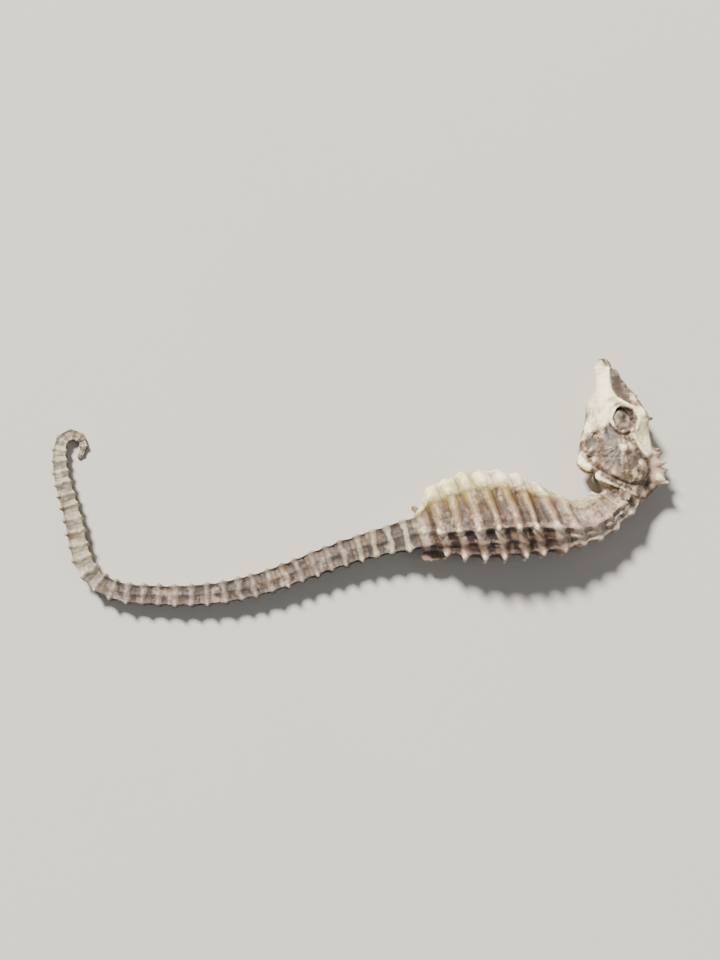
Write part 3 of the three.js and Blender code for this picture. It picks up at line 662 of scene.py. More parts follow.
ROSE = [
    ("coronet", 1.2, 1.0, (1.0, 5.9, 0.4)),
    ("rear of the coronet", 1.0, 0.8, (-0.4, 5.6, 0.4)),
    ("gill cover rear", 0.8, 0.8, (1.1, 2.2, 1.8)),
    ("side of the neck", 0.6, 0.9, (-1.6, 2.6, 1.5)),
    ("cheek", 0.5, 0.7, (4.8, 1.6, 1.2)),
]


def patches(table):
    """One soft mask from 0 to 1 out of a table of patches."""
    return np.clip(sum(amount * spot(radius, centre) for _, amount, radius, centre in table), 0, 1)


painted_ridge_highlight = np.clip(painted_line_light, 0, 1)
painted_groove_shade = np.clip(-painted_line_light, 0, 1)
tones = {
    "girth": girth,
    "ring": np.clip(g, -1, TIP_G),
    "crest": np.clip(crest, 0, 1),
    "node": node,
    "plate": plate_tone * np.clip(1 - crest, 0, 1) * rings_on * np.sin(math.pi * (face - face_id)) ** 0.7,
    "seam": np.clip(seam * rings_on, 0, 1),
    "head": head_share,
    # the pale tone also carries painted highlight along raised lines, and the grey tone painted shade along
    # sunk lines
    "cream": np.clip(patches(CREAM) + 0.7 * painted_ridge_highlight * on_head + 0.6 * front_rim, 0, 1),
    "rose": patches(ROSE),
    "smoke": np.clip(patches(SMOKE_AND_SHADE) - 0.8 * painted_ridge_highlight + painted_groove_shade * on_head, 0, 1),
    "net": net * on_head,
    # painted shade: dark inside the eye socket, most on its side towards the snout and the brow, and dark in
    # the mouth's cut
    "socket": np.clip(in_socket * (0.55 + 0.45 * np.cos(eye_clock - EYE_LEAN)) + mouth * on_head, 0, 1),
}


# ---- onto the frame ----
def frame_shift():
    """How far the frame's origin lies from the body's plan, from the left eye's place."""
    low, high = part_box("eye_left")
    here = (np.array(low) + np.array(high))[:2] / 2 / MM
    return here - (THROAT + HEAD_ALONG * EYE[0] + HEAD_DORSAL * EYE[1])


SHIFT = frame_shift()


def to_frame(points):
    points = np.array(points, float)
    points[..., :2] += SHIFT
    points[..., 2] = np.maximum(points[..., 2], 0)
    return points * MM


def put_in(name, data):
    made = bpy.data.objects.new(name, data)
    bpy.context.scene.collection.objects.link(made)
    return made


def new_piece(name, points, faces):
    mesh = bpy.data.meshes.new(name)
    mesh.from_pydata(points.tolist(), [], faces)
    mesh.polygons.foreach_set("use_smooth", np.ones(len(faces), bool))
    mesh.update()
    return put_in(name, mesh)


def give_tone(piece, name, values):
    """Stores one number for each point of a piece, for its finish to read."""
    attribute = piece.data.attributes.new(name, "FLOAT", "POINT")
    attribute.data.foreach_set("value", np.asarray(values).astype(np.float32))


def grid_faces(bands, columns, wide):
    """Faces of a grid with so many points in a row. It is closed if it has as many columns."""
    steps = [(i * wide, k, (k + 1) % wide) for i in range(bands) for k in range(columns)]
    return [[a + k, a + after, a + wide + after, a + wide + k] for a, k, after in steps]


def outward_faces(piece):
    shape = bmesh.new()
    shape.from_mesh(piece.data)
    bmesh.ops.recalc_face_normals(shape, faces=shape.faces)
    shape.to_mesh(piece.data)
    shape.free()


# ---- the skin's faces, and its flat layout for colour ----
GAP = 0.004  # between the strips of the layout, and round its edge
SNOUT_CAP = 0.2  # lengths of the two end caps in the layout, and the free length past each
TAIL_CAP = 0.15
PAST_CAP = 0.05
CLOSEST = 0.03  # crowded rows are laid out at least this far apart


def skin_mesh():
    """Points, faces, flat layout in three strips, and tones. The tail has half as many columns."""
    def rows_of(grid):
        return [grid[:FIRST_TAIL_ROW], grid[FIRST_TAIL_ROW:, ::2]]

    points = np.vstack([part.reshape(-1, 3) for part in rows_of(skin_points)] + [tip[None], tail_end[None]])
    values = {
        name: np.concatenate([part.ravel() for part in rows_of(tone)] + [[tone[0].mean(), tone[-1].mean()]])
        for name, tone in tones.items()
    }
    steps = np.linalg.norm(np.diff(middle, axis=0), axis=1)
    run = np.concatenate([[0], np.cumsum(np.maximum(steps, CLOSEST))])
    last = len(rows) - 1
    halfway = (FIRST_TAIL_ROW + last) // 2

    def corner(row, k):
        """A point's number, its share of the way round, and its distance along the body."""
        if row < FIRST_TAIL_ROW:
            return row * ROUND + k % ROUND, k / ROUND, run[row]
        return FIRST_TAIL_ROW * ROUND + (row - FIRST_TAIL_ROW) * HALF + k % HALF, k / HALF, run[row]

    def band(row):
        """The faces between a row and the next one."""
        if row == FIRST_TAIL_ROW - 1:
            joined = []
            for k in range(HALF):
                a, b, c = (corner(row, 2 * k + i) for i in range(3))
                d, e = (corner(row + 1, k + i) for i in range(2))
                joined += [[a, b, d], [b, e, d], [b, c, e]]
            return joined
        count = ROUND if row < FIRST_TAIL_ROW else HALF
        return [
            [corner(row, k), corner(row, k + 1), corner(row + 1, k + 1), corner(row + 1, k)]
            for k in range(count)
        ]

    snout_cap = [
        [(len(points) - 2, (k + 0.5) / ROUND, run[0] - SNOUT_CAP), corner(0, k + 1), corner(0, k)]
        for k in range(ROUND)
    ]
    tail_cap = [
        [corner(last, k), corner(last, k + 1), (len(points) - 1, (k + 0.5) / HALF, run[last] + TAIL_CAP)]
        for k in range(HALF)
    ]
    strips = [
        (snout_cap, 0, FIRST_TAIL_ROW, [], (0, 0.6)),
        ([], FIRST_TAIL_ROW, halfway, [], (0.6, 0.8)),
        ([], halfway, last, tail_cap, (0.8, 1)),
    ]
    faces = []
    layout = []
    for first_cap, start, end, last_cap, (left, right) in strips:
        first_run = run[start] - (SNOUT_CAP + PAST_CAP if first_cap else 0)
        last_run = run[end] + (TAIL_CAP + PAST_CAP if last_cap else 0)
        for corners in first_cap + sum((band(row) for row in range(start, end)), []) + last_cap:
            faces.append([number for number, _, _ in corners])
            for _, across, down in corners:
                v = (down - first_run) / (last_run - first_run)
                layout.append((mix(left + GAP, right - GAP, across), mix(GAP, 1 - GAP, v)))
    return points, faces, layout, values


points, faces, layout, values = skin_mesh()
skin = new_piece("skin", to_frame(points), faces)
uv = skin.data.uv_layers.new(name="OFBake")
uv.data.foreach_set("uv", np.array(layout, np.float32).ravel())
for name, value in values.items():
    give_tone(skin, name, value)

# ---- eyes: dull sunken balls with a raised ring ----
EYE_ROUND = 72
EYE_RINGS = 26
EYE_STAND = 0.08
EYE_BULGE = 0.26
EYE_BACK = 0.5
EYE_SLUMP = 0.32
EYE_OFFSET = [0.1, 0.08, 0.02]  # the ball's middle from the socket's


def eye_shell(out, turn, height):
    """Points at the given shares of the way out, slumped towards the snout and the brow."""
    radius = EYE_REACH * out * oval(turn)
    slump = EYE_SLUMP * out * np.cos(turn - EYE_LEAN)
    return np.dstack([polar(radius, turn), height - slump])


def dried_eye(name, side):
    """A shrunken eyeball: a ring round its edge, a caved-in middle and a few creases."""
    angles = np.arange(EYE_ROUND) * 2 * math.pi / EYE_ROUND
    out, turn = np.meshgrid(np.linspace(0.03, 1, EYE_RINGS), angles, indexing="ij")
    flat = np.dstack([polar(out, turn), 0 * out + side])
    dome = np.sqrt(np.maximum(1 - out ** 2, 0))
    profile = EYE_BULGE * dome + 0.05 * hump(out - 0.66 - 0.08 * np.cos(turn + 1), 0.16)
    caved = -0.15 * hump(np.hypot(flat[..., 0] - 0.12, flat[..., 1] - 0.16), 0.36)
    creases = 0.05 * noise(flat, 0.5, 41) + 0.03 * noise(flat, 0.22, 42)
    front = eye_shell(out, turn, EYE_STAND + profile + caved + creases * (1 - hump(out, 0.03)))
    back = eye_shell(out[::-1], turn, EYE_STAND - EYE_BACK * dome[::-1])[1:]
    grid = np.concatenate([front, back])
    poles = [[0, 0, front[0, :, 2].mean()], [0, 0, back[-1, :, 2].mean()]]
    local = np.vstack([grid.reshape(-1, 3), poles]) - EYE_OFFSET
    plan_xy = THROAT + HEAD_ALONG * (EYE[0] + local[:, :1]) + HEAD_DORSAL * (EYE[1] + local[:, 1:2])
    points = np.column_stack([plan_xy, HEAD_MIDDLE + side * (EYE[2] + local[:, 2])])
    front_pole = len(points) - 2
    last_ring = front_pole - EYE_ROUND
    faces = grid_faces(len(grid) - 1, EYE_ROUND, EYE_ROUND)
    for k in range(EYE_ROUND):
        after = (k + 1) % EYE_ROUND
        faces.append([front_pole, after, k])
        faces.append([front_pole + 1, last_ring + k, last_ring + after])
    piece = new_piece(name, to_frame(points), faces)
    towards_brow = local[:, 0] * math.cos(EYE_LEAN) + local[:, 1] * math.sin(EYE_LEAN)
    give_tone(piece, "out", np.hypot(local[:, 0], local[:, 1]) / EYE_REACH)
    # the front tone places the painted shadow that the orbit's edge casts on the ball
    give_tone(piece, "front", towards_brow / EYE_REACH)
    outward_faces(piece)
    return piece


# ---- node trees written as expressions ----
def operator(operation):
    """A Python operator that adds a Math node, and its reflected form."""
    return (
        lambda self, other: self.math(operation, self, other),
        lambda self, other: self.math(operation, other, self),
    )


class Wire:
    """One value in a node tree. Arithmetic on it adds Math nodes."""

    def __init__(self, tree, socket=None):
        self.tree = tree
        self.socket = socket

    def node(self, kind, values=None, output=0, **settings):
        """Adds a node: its settings come first, then the values or wires of its sockets."""
        made = self.tree.nodes.new(kind)
        for name, setting in settings.items():
            if name == "stops":
                set_stops(made.color_ramp, setting)
            else:
                setattr(made, name, setting)
        for name, value in (values or {}).items():
            if isinstance(value, Wire):
                self.tree.links.new(value.socket, made.inputs[name])
            else:
                made.inputs[name].default_value = value
        return Wire(self.tree, made.outputs[output]) if made.outputs else None

    def math(self, operation, a, b=0.0):
        return self.node("ShaderNodeMath", {0: a, 1: b}, operation=operation)

    __add__, __radd__ = operator("ADD")
    __sub__, __rsub__ = operator("SUBTRACT")
    __mul__, __rmul__ = operator("MULTIPLY")
    __truediv__, __rtruediv__ = operator("DIVIDE")

    def between(self, low, high):
        """Rises smoothly from 0 at low to 1 at high."""
        return self.node("ShaderNodeMapRange", {0: self, 1: low, 2: high}, interpolation_type="SMOOTHSTEP")

    def colour(self, *stops):
        """A colour that follows this value through (place, red, green, blue) stops."""
        return self.node("ShaderNodeValToRGB", {0: self}, stops=stops)

    def mixed(self, a, b):
        """Colour a where this is 0 and colour b where it is 1."""
        values = {0: self, 6: a, 7: b}
        return self.node("ShaderNodeMix", values, 2, data_type="RGBA", clamp_factor=True)

    def under(self, *layers):
        """This colour under (amount, red, green, blue) layers, the first one lowest."""
        colour = self
        for amount, *display in layers:
            colour = amount.mixed(colour, tint(*display))
        return colour

    def tone(self, name):
        return self.node("ShaderNodeAttribute", None, "Fac", attribute_name=name)

    def place(self):
        return self.node("ShaderNodeTexCoord", None, "Object")

    def grain(self, size_mm, detail=3.0, rough=0.55):
        """Noise from 0 to 1 with features of the given size."""
        values = {"Vector": self.place(), "Scale": 1 / (size_mm * MM), "Detail": detail, "Roughness": rough}
        return self.node("ShaderNodeTexNoise", values)

    def cells(self, size_mm):
        """Distance to the nearest of many scattered points."""
        values = {"Vector": self.place(), "Scale": 1 / (size_mm * MM)}
        return self.node("ShaderNodeTexVoronoi", values, "Distance")

    def to(self, shader, name):
        self.tree.links.new(self.socket, shader.inputs[name])

    def bump(self, shader, strength, depth_mm):
        """Uses this value as fine relief."""
        values = {"Strength": strength, "Distance": depth_mm * MM, "Height": self}
        self.node("ShaderNodeBump", values).to(shader, "Normal")


def set_stops(ramp, stops):
    while len(ramp.elements) < len(stops):
        ramp.elements.new(0.5)
    for element, (position, *colour) in zip(ramp.elements, stops):
        element.position = position
        element.color = tint(*colour)


def tint(*display):
    """A linear colour from 8-bit display values."""
    shares = [value / 255 for value in display]
    return (*(s / 12.92 if s <= 0.04045 else ((s + 0.055) / 1.055) ** 2.4 for s in shares), 1.0)


def new_finish(name):
    material = bpy.data.materials.new(name)
    material.use_nodes = True
    tree = material.node_tree
    return material, tree.nodes["Principled BSDF"], Wire(tree)


# ---- fins: a thin web with tapered rays ----
# Each fin: foot length, height, half spread of the rim, sweep towards the tail, number of rays.
FIN_SIZES = ("Base", "Height", "Spread", "Sweep", "Rays")
FINS = {
    "dorsal_fin": (2.0, 0.8, 1.25, 0.35, 17),
    "anal_fin": (0.4, 0.6, 0.35, 0.2, 4),
    "pectoral_fin_left": (0.7, 1.15, 0.6, 0.25, 15),
    "pectoral_fin_right": (0.7, 1.15, 0.6, 0.25, 15),
}
FAN = (0.9, 0.1)  # the fan of rays opens between these shares of a half turn
RAY_THICKNESS = 0.03
PECTORAL_TURN = math.radians(120)
PECTORAL_RISE = math.radians(8)
PECTORAL_FOOT = (-0.5, 2.7, 1.5)  # along, up and left from the throat
FIN_PLACES = {"dorsal_fin": (11, BACK, 1), "anal_fin": (11.4, BELLY, -1)}  # section, edge, side of the line
FIN_SUNK = 0.12
GAP_COLUMNS = 4  # columns of the web in each gap between two rays
WEB_ROWS = 10
WEB_ROOT = 0.25  # the root goes half this many millimetres under the body's surface
WEB_EDGE = 0.012  # half the web's thickness at its rim
NOTCH = 0.1  # the rim is scalloped between the rays
TATTER = 0.16  # and worn down here and there
FIN_CURL = 0.14  # how far the rim waves to either side


def ray_tree():
    """Fin rays: tapered rods fanned from one foot, the middle ones longest."""
    tree = bpy.data.node_groups.new("fin rays", "GeometryNodeTree")
    tree.interface.new_socket("Geometry", in_out="OUTPUT", socket_type="NodeSocketGeometry")
    inputs = (*FIN_SIZES, "Thickness", "Finish")
    for name in inputs:
        kind = {"Rays": "Int", "Finish": "Material"}.get(name, "Float")
        tree.interface.new_socket(name, in_out="INPUT", socket_type="NodeSocket" + kind)
    w = Wire(tree)
    given = {name: w.node("NodeGroupInput", output=name) for name in inputs}
    share = w.node("GeometryNodeInputIndex") / (given["Rays"] - 1.0)
    angle = (FAN[0] - share * (FAN[0] - FAN[1])) * math.pi
    foot_x = (share - 0.5) * given["Base"]
    sine = w.math("SINE", angle)
    rim_y = sine * given["Height"]
    across = w.math("COSINE", angle) * given["Spread"] + sine * given["Sweep"] - foot_x
    lean = w.math("ARCTAN2", across, rim_y) * -1.0
    line = w.node("ShaderNodeCombineXYZ", {"X": across, "Y": rim_y})
    length = w.node("ShaderNodeVectorMath", {0: line}, "Value", operation="LENGTH")
    feet = w.node("GeometryNodeSetPosition", {
        "Geometry": w.node("GeometryNodeMeshLine", {"Count": given["Rays"]}),
        "Position": w.node("ShaderNodeCombineXYZ", {"X": foot_x}),
    })
    rod = w.node("GeometryNodeMeshCone", {
        "Vertices": 8,
        "Side Segments": 5,
        "Radius Top": 0.35,
        "Radius Bottom": 1.0,
        "Depth": 0.97,
    })
    euler = w.node("ShaderNodeCombineXYZ", {"X": -math.pi / 2, "Z": lean})
    thickness = given["Thickness"]
    rods = w.node("GeometryNodeInstanceOnPoints", {
        "Points": feet,
        "Instance": rod,
        "Rotation": w.node("FunctionNodeEulerToRotation", {"Euler": euler}),
        "Scale": w.node("ShaderNodeCombineXYZ", {"X": thickness, "Y": thickness, "Z": length}),
    })
    solid = w.node("GeometryNodeRealizeInstances", {"Geometry": rods})
    finished = w.node("GeometryNodeSetMaterial", {"Geometry": solid, "Material": given["Finish"]})
    w.node("NodeGroupOutput", {0: finished})
    return tree


def fin_rays(name, tree, finish):
    """The rays of one fin as a plain mesh, flat in its own plane."""
    holder = new_piece(name + "_rays", np.zeros((1, 3)), [])
    modifier = holder.modifiers.new("rays", "NODES")
    modifier.node_group = tree
    sizes = dict(zip(FIN_SIZES, FINS[name]), Thickness=RAY_THICKNESS, Finish=finish)
    for socket in tree.interface.items_tree:
        if socket.in_out == "INPUT":
            modifier[socket.identifier] = sizes[socket.name]
    holder.update_tag()
    ready = holder.evaluated_get(bpy.context.evaluated_depsgraph_get())
    mesh = bpy.data.meshes.new_from_object(ready)
    bpy.data.objects.remove(holder)
    points = np.array([tuple(vertex.co) for vertex in mesh.vertices])
    faces = [list(polygon.vertices) for polygon in mesh.polygons]
    bpy.data.meshes.remove(mesh)
    return points, faces


def fin_web(base, height, spread, sweep, rays):
    """The thin skin between the rays: two faces joined along the rim, root below the body's surface."""
    across = rays * GAP_COLUMNS
    share, reach = np.meshgrid(np.linspace(0, 1, across + 1), np.linspace(-WEB_ROOT, 1, WEB_ROWS + 1))
    angle = math.pi * mix(*FAN, share)
    notch = 1 - NOTCH * (0.5 - 0.5 * np.cos(share * (rays - 1) * 2 * math.pi))
    notch = notch - TATTER * np.abs(np.sin(share * 7.3 + 0.6) * np.sin(share * 17.0))
    rim_x = np.cos(angle) * spread + np.sin(angle) * sweep
    rim_y = np.sin(angle) * height
    far = np.maximum(reach, 0) * mix(1, notch, smooth(reach))
    x = mix((share - 0.5) * base, rim_x, far)
    y = rim_y * far + np.minimum(reach, 0) * 0.5
    half = WEB_EDGE * (2 - reach)
    sides = [np.stack([x, y, sign * half], axis=-1).reshape(-1, 3) for sign in (1, -1)]
    wide = across + 1
    count = wide * (WEB_ROWS + 1)
    faces = grid_faces(WEB_ROWS, across, wide)
    faces += [[count + a, count + d, count + c, count + b] for a, b, c, d in faces]
    loop = list(range(wide)) + [i * wide + across for i in range(1, WEB_ROWS + 1)]
    loop += [WEB_ROWS * wide + k for k in range(across - 1, -1, -1)]
    loop += [i * wide for i in range(WEB_ROWS - 1, 0, -1)]
    for a, b in zip(loop, loop[1:] + loop[:1]):
        faces.append([b, a, count + a, count + b])
    return np.vstack(sides), faces


def fin_stand(name):
    """Foot, direction along the base, direction out of the body, and the direction across the web."""
    if name.startswith("pectoral"):
        side = 1 if name.endswith("left") else -1
        cosine, sine = math.cos(PECTORAL_TURN), math.sin(PECTORAL_TURN)
        along = np.array([*(HEAD_ALONG * cosine + HEAD_DORSAL * sine), 0])
        away = np.array([*(HEAD_DORSAL * cosine - HEAD_ALONG * sine), 0]) * math.cos(PECTORAL_RISE)
        away = away + np.array([0, 0, side]) * math.sin(PECTORAL_RISE)
        foot_along, foot_up, foot_left = PECTORAL_FOOT
        foot_xy = THROAT + HEAD_ALONG * foot_along + HEAD_DORSAL * foot_up
        foot = np.array([*foot_xy, HEAD_MIDDLE + side * foot_left])
        return foot, along, away, np.cross(along, away)
    g_here, edge, sign = FIN_PLACES[name]
    centre, up = place(g_here)
    tailward = aim(heading(g_here))
    outward = up * sign
    outward = outward - tailward * (outward @ tailward)
    foot_xy = centre + up * sign * (keyed(edge, g_here) - FIN_SUNK)
    foot = np.array([*foot_xy, keyed(HEIGHTS, g_here)])
    along = np.array([*tailward, 0])
    away = np.array([*outward / np.linalg.norm(outward), 0])
    return foot, along, away, np.cross(along, away)


def fin(name, tree, finish):
    base, height = FINS[name][:2]
    web, web_faces = fin_web(*FINS[name])
    rods, rod_faces = fin_rays(name, tree, finish)
    flat = np.vstack([web, rods])
    curl = FIN_CURL * np.sin(flat[:, 0] * 4.2 / base + 0.8) * np.maximum(flat[:, 1], 0) ** 1.3
    foot, along, away, across = fin_stand(name)
    points = foot + flat[:, :1] * along + flat[:, 1:2] * away + (flat[:, 2] + curl)[:, None] * across
    faces = web_faces + [[len(web) + corner for corner in corners] for corners in rod_faces]
    piece = new_piece(name + "_web", to_frame(points), faces)
    outward_faces(piece)
    give_tone(piece, "reach", flat[:, 1] / height)
    give_tone(piece, "ray", np.arange(len(flat)) >= len(web))
    return piece


# ---- finishes ----
def ring_colour(w, raised):
    """Rings of trunk and tail: dark sunken plates between pale bars, each by its place from back to keel."""
    girth = w.tone("girth") + (w.grain(1.3) - 0.5) * 0.1 + (w.grain(0.35, 6.0, 0.7) - 0.5) * 0.1
    trunk_pit = girth.colour(
        (0.0, 62, 47, 40), (0.45, 40, 28, 25), (0.56, 46, 32, 28), (0.6, 64, 47, 38), (0.68, 76, 57, 44),
        (0.72, 76, 55, 32), (0.79, 98, 74, 42), (0.84, 178, 160, 106), (1.0, 240, 230, 176),
    )
    trunk_bar = girth.colour(
        (0.0, 134, 113, 98), (0.45, 132, 107, 90), (0.565, 232, 210, 184), (0.6, 138, 111, 91),
        (0.69, 140, 114, 86), (0.74, 134, 108, 66), (0.82, 162, 143, 90), (0.87, 250, 242, 192),
        (1.0, 255, 250, 208),
    )
    tail_pit = girth.colour((0.0, 78, 66, 58), (0.5, 64, 53, 47), (0.85, 82, 71, 61), (1.0, 126, 114, 94))
    tail_bar = girth.colour(
        (0.0, 130, 115, 103), (0.5, 121, 106, 96), (0.8, 136, 122, 108), (1.0, 180, 168, 144),
    )
    ring = w.tone("ring")
    low = w.tone("girth")
    plate = w.tone("plate")
    off_head = 1 - w.tone("head")
    on_tail = ring.between(10.4, 12.6)
    on_trunk = 1 - on_tail
    upper_side = 1 - low.between(0.5, 0.62)
    shoulders = (1 - ring.between(2.8, 5.2)) * off_head
    # the tail: pale at its root, dusky behind it, faded where it turns up
    tail_root = ring.between(11.0, 13.0) * (1 - ring.between(14.0, 18.0))
    dusk = ring.between(12.5, 14.0) * (1 - ring.between(16.5, 19.5)) * (0.75 - 0.45 * raised)
    faded = ring.between(30.5, 35.5) * (0.35 + w.grain(1.1, 5.0, 0.62).between(0.4, 0.6) * 0.3)
    # the belly: yellow towards its rear, pink at its middle, crusted on the side, weathered along the keel
    yolk = low.between(0.74, 0.92) * ring.between(6.5, 8.5) * on_trunk
    shell = low.between(0.8, 0.95) * ring.between(4.5, 6.0) * (1 - ring.between(7.0, 8.5))
    crust = w.grain(0.9, 5.0, 0.6).between(0.5, 0.6) * girth.between(0.55, 0.58)
    crust = crust * (1 - girth.between(0.62, 0.7)) * on_trunk
    weathered = w.grain(1.1, 6.0, 0.64).between(0.5, 0.62) * low.between(0.78, 0.88) * on_trunk
    # the throat is blotched, and the shoulders are flecked with pale and dark
    throat = w.grain(0.7, 5.0, 0.62).between(0.42, 0.56) * low.between(0.66, 0.8)
    throat = throat * (1 - ring.between(2.8, 3.8))
    blotch = w.grain(0.6, 6.0, 0.66).between(0.47, 0.6) * (1 - ring.between(2.8, 4.0)) * (1 - upper_side)
    flecks = w.grain(0.5, 4.0, 0.6).between(0.53, 0.62) * shoulders
    shade = w.grain(0.42, 4.0, 0.6).between(0.55, 0.64) * shoulders
    bare = raised.mixed(on_tail.mixed(trunk_pit, tail_pit), on_tail.mixed(trunk_bar, tail_bar))
    return bare.under(
        (tail_root * raised * 0.5, 214, 204, 164),
        (dusk, 58, 48, 46),
        (faded, 176, 166, 142),
        (yolk * 0.5, 228, 220, 132),
        (shell * 0.55, 228, 208, 200),
        (crust * (0.15 + 0.5 * raised), 236, 218, 198),
        (weathered * 0.38, 138, 120, 98),
        (throat * 0.6, 98, 80, 66),
        # the pale shoulders are the neck's own colour; the extra share over the back half is painted light
        # that lifts that side's shade
        (shoulders * (0.45 + 0.3 * upper_side), 174, 151, 133),
        (blotch * off_head * 0.55, 92, 74, 62),
        (flecks * (0.25 + 0.4 * upper_side), 222, 220, 196),
        (shade * 0.5, 84, 68, 58),
        (plate.between(0.0, 1.0) * 0.25, 196, 164, 130),
        ((0.0 - plate).between(0.0, 1.0) * 0.55, 50, 36, 32),
    )


def head_colour(w):
    """Mottled brown bone with rose, pale yellow and dark grey patches; the pale layer also carries painted
    highlight along raised lines, and the grey layer painted shade in grooves and hollows.
    """
    bone = w.grain(0.8, 5.0, 0.62).colour(
        (0.38, 44, 33, 27), (0.47, 82, 64, 50), (0.55, 128, 104, 82), (0.64, 214, 194, 162),
    )
    rose = (w.tone("rose") + (w.grain(0.6, 5.0, 0.62) - 0.5) * 1.2).between(0.3, 0.9)
    cream = (w.tone("cream") + (w.grain(0.45, 6.0, 0.66) - 0.5) * 1.1).between(0.2, 0.75)
    smoke = (w.tone("smoke") + (w.grain(0.5, 6.0, 0.64) - 0.5) * 1.2).between(0.25, 0.95)
    return bone.under(
        (rose * 0.7, 196, 167, 144),
        (cream, 255, 242, 196),
        (smoke * 0.85, 80, 69, 62),
        (w.tone("net") * 0.35, 90, 66, 48),
    )


def skin_finish():
    """Dry skin over bony rings: pale and smoother where it is raised, dark in the pits, folded and dusty."""
    material, shader, w = new_finish("dried skin")
    raised = (w.tone("crest") + (w.grain(0.3, 8.0, 0.72) - 0.5) * 1.1).between(0.12, 0.75)
    crease = w.math("ABSOLUTE", w.grain(0.55, 2.0) - 0.5).between(0.0, 0.035)
    folds = (1 - crease) * w.grain(1.2).between(0.46, 0.64)
    specks = 1 - w.cells(0.3).between(0.1, 0.3)
    dust = 1 - w.cells(0.17).between(0.08, 0.26)
    w.tone("head").mixed(ring_colour(w, raised), head_colour(w)).under(
        (w.grain(1.4, 6.0, 0.66).between(0.53, 0.66) * 0.35, 222, 204, 180),
        (w.grain(1.9, 5.0, 0.62).between(0.5, 0.68) * 0.5, 106, 76, 48),
        (w.tone("seam") * 0.55, 58, 38, 32),
        (w.tone("node").between(0.25, 0.95) * 0.7, 244, 230, 200),
        (folds * 0.25, 84, 60, 46),
        (specks * w.grain(1.1).between(0.46, 0.62) * 0.5, 64, 44, 36),
        (dust * w.grain(0.9).between(0.5, 0.66) * 0.3, 238, 228, 206),
        # painted shade in the eye socket and the mouth's cut
        (w.tone("socket"), 44, 32, 28),
    ).to(shader, "Base Color")
    rough = 0.62 - 0.2 * w.tone("node") - 0.12 * raised + (w.grain(0.25) - 0.5) * 0.3
    rough.to(shader, "Roughness")
    fine = w.grain(0.14, 4.0) * 0.5 + w.grain(0.4, 4.0, 0.6)
    (fine - specks * 0.3 - folds * 0.35 + dust * 0.1).bump(shader, 0.7, 0.07)
    return material


def fin_finish():
    """Shrivelled brown membrane with paler rays."""
    material, shader, w = new_finish("fin membrane")
    w.tone("ray").mixed(tint(118, 96, 76), tint(168, 144, 116)).under(
        (w.grain(0.4, 5.0).between(0.4, 0.62) * 0.6, 74, 57, 44),
        (w.tone("reach").between(0.5, 1.0) * 0.35, 168, 146, 118),
    ).to(shader, "Base Color")
    (0.5 + (w.grain(0.3) - 0.5) * 0.3).to(shader, "Roughness")
    w.grain(0.12, 3.0).bump(shader, 0.4, 0.03)
    return material


def eye_finish():
    """A dull ringed ball with pale dried patches, and painted shadow of the orbit's edge on its side towards
    the snout and the brow.
    """
    material, shader, w = new_finish("dried eye")
    out = w.tone("out") + (w.grain(0.4, 3.0) - 0.5) * 0.16
    out.colour(
        (0.0, 52, 42, 36), (0.3, 64, 53, 45), (0.46, 104, 90, 76), (0.7, 122, 106, 88), (0.86, 96, 78, 62),
        (1.0, 60, 44, 35),
    ).under(
        (w.grain(0.3, 5.0, 0.65).between(0.44, 0.64) * 0.5, 158, 144, 124),
        # painted shadow of the orbit's overhanging edge
        ((w.tone("front") + (w.grain(0.4) - 0.5) * 0.3).between(0.25, 0.65), 26, 20, 18),
    ).to(shader, "Base Color")
    (0.42 + w.grain(0.3) * 0.3).to(shader, "Roughness")
    w.grain(0.14, 4.0).bump(shader, 0.4, 0.03)
    return material


def floor_finish():
    material, shader, w = new_finish("pale table")
    w.grain(40.0, 3.0).mixed(tint(186, 181, 172), tint(191, 187, 179)).to(shader, "Base Color")
    shader.inputs["Roughness"].default_value = 0.85
    return material


# ---- the pieces, and what each one stands for ----
BODY_NODES = ["head", "coronet", "snout", "neck", "chest", "belly"] + [f"tail_{i}" for i in range(1, 13)]
skin.data.materials.append(skin_finish())
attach(skin, "root")
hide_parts(*BODY_NODES)

web_finish = fin_finish()
rays_tree = ray_tree()
for fin_name in FINS:
    web = fin(fin_name, rays_tree, web_finish)
    web.data.materials.append(web_finish)
    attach(web, "root")
    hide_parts(fin_name)

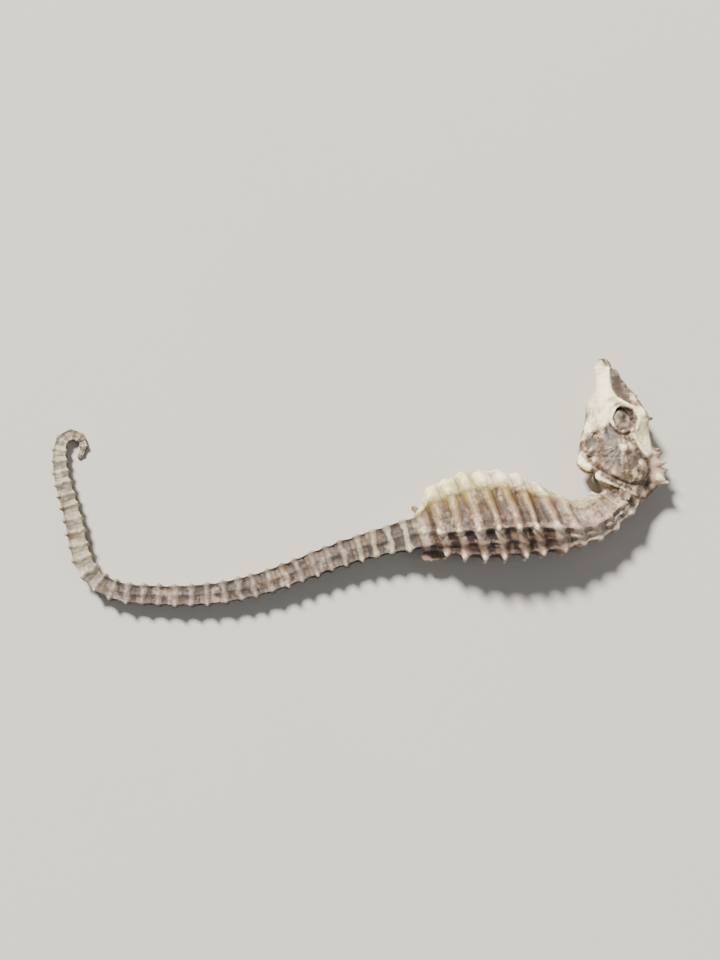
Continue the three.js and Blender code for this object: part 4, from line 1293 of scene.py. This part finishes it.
lens_finish = eye_finish()
for eye_name, eye_side_sign in (("eye_left", 1), ("eye_right", -1)):
    lens = dried_eye(eye_name + "_lens", eye_side_sign)
    lens.data.materials.append(lens_finish)
    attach(lens, "root")
    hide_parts(eye_name)

# ---- floor, light and camera ----
TABLE_REACH = 3.0
TABLE_DROP = 0.00001  # keeps the table's face clear of the part's flats
SQUARE = [(-1, -1), (1, -1), (1, 1), (-1, 1)]
table_corners = [[x * TABLE_REACH, y * TABLE_REACH, -TABLE_DROP] for x, y in SQUARE]
floor = new_piece("table", np.array(table_corners), [[0, 1, 2, 3]])
floor.data.materials.append(floor_finish())

world = bpy.data.worlds.new("soft room")
world.use_nodes = True
background = world.node_tree.nodes["Background"]
background.inputs["Color"].default_value = (0.92, 0.95, 1.0, 1.0)
background.inputs["Strength"].default_value = 0.25
bpy.context.scene.world = world


def lamp(name, place_xyz, size, power, colour):
    """A round soft lamp that shines on the part."""
    light = bpy.data.lights.new(name, "AREA")
    light.shape = "DISK"
    light.size = size
    light.energy = power
    light.color = colour
    holder = put_in(name, light)
    holder.location = place_xyz
    holder.rotation_euler = (-Vector(place_xyz)).to_track_quat("-Z", "Y").to_euler()


lamp("window light", (-0.7, 1.15, 1.4), 0.36, 132, (1.0, 0.975, 0.92))
lamp("fill light", (1.5, -0.5, 1.5), 1.5, 9, (0.93, 0.96, 1.0))

# The camera looks almost straight down on the side of the animal.
CAMERA_HEIGHT = math.radians(84)
CAMERA_REACH = 0.163
CAMERA_NEAREST = 0.01
FRAME_WIDTH = 0.060
FRAME_HEIGHT = FRAME_WIDTH * 960 / 720
low_corner, high_corner = (Vector(corner) for corner in CAD_BOX)
target = (low_corner + high_corner) / 2
camera = put_in("camera", bpy.data.cameras.new("camera"))
camera.location = target + CAMERA_REACH * Vector((0, -math.cos(CAMERA_HEIGHT), math.sin(CAMERA_HEIGHT)))
camera.rotation_euler = (math.pi / 2 - CAMERA_HEIGHT, 0, 0)
camera.data.angle = 2 * math.atan(FRAME_HEIGHT / 2 / CAMERA_REACH)
camera.data.clip_start = CAMERA_NEAREST
bpy.context.scene.camera = camera
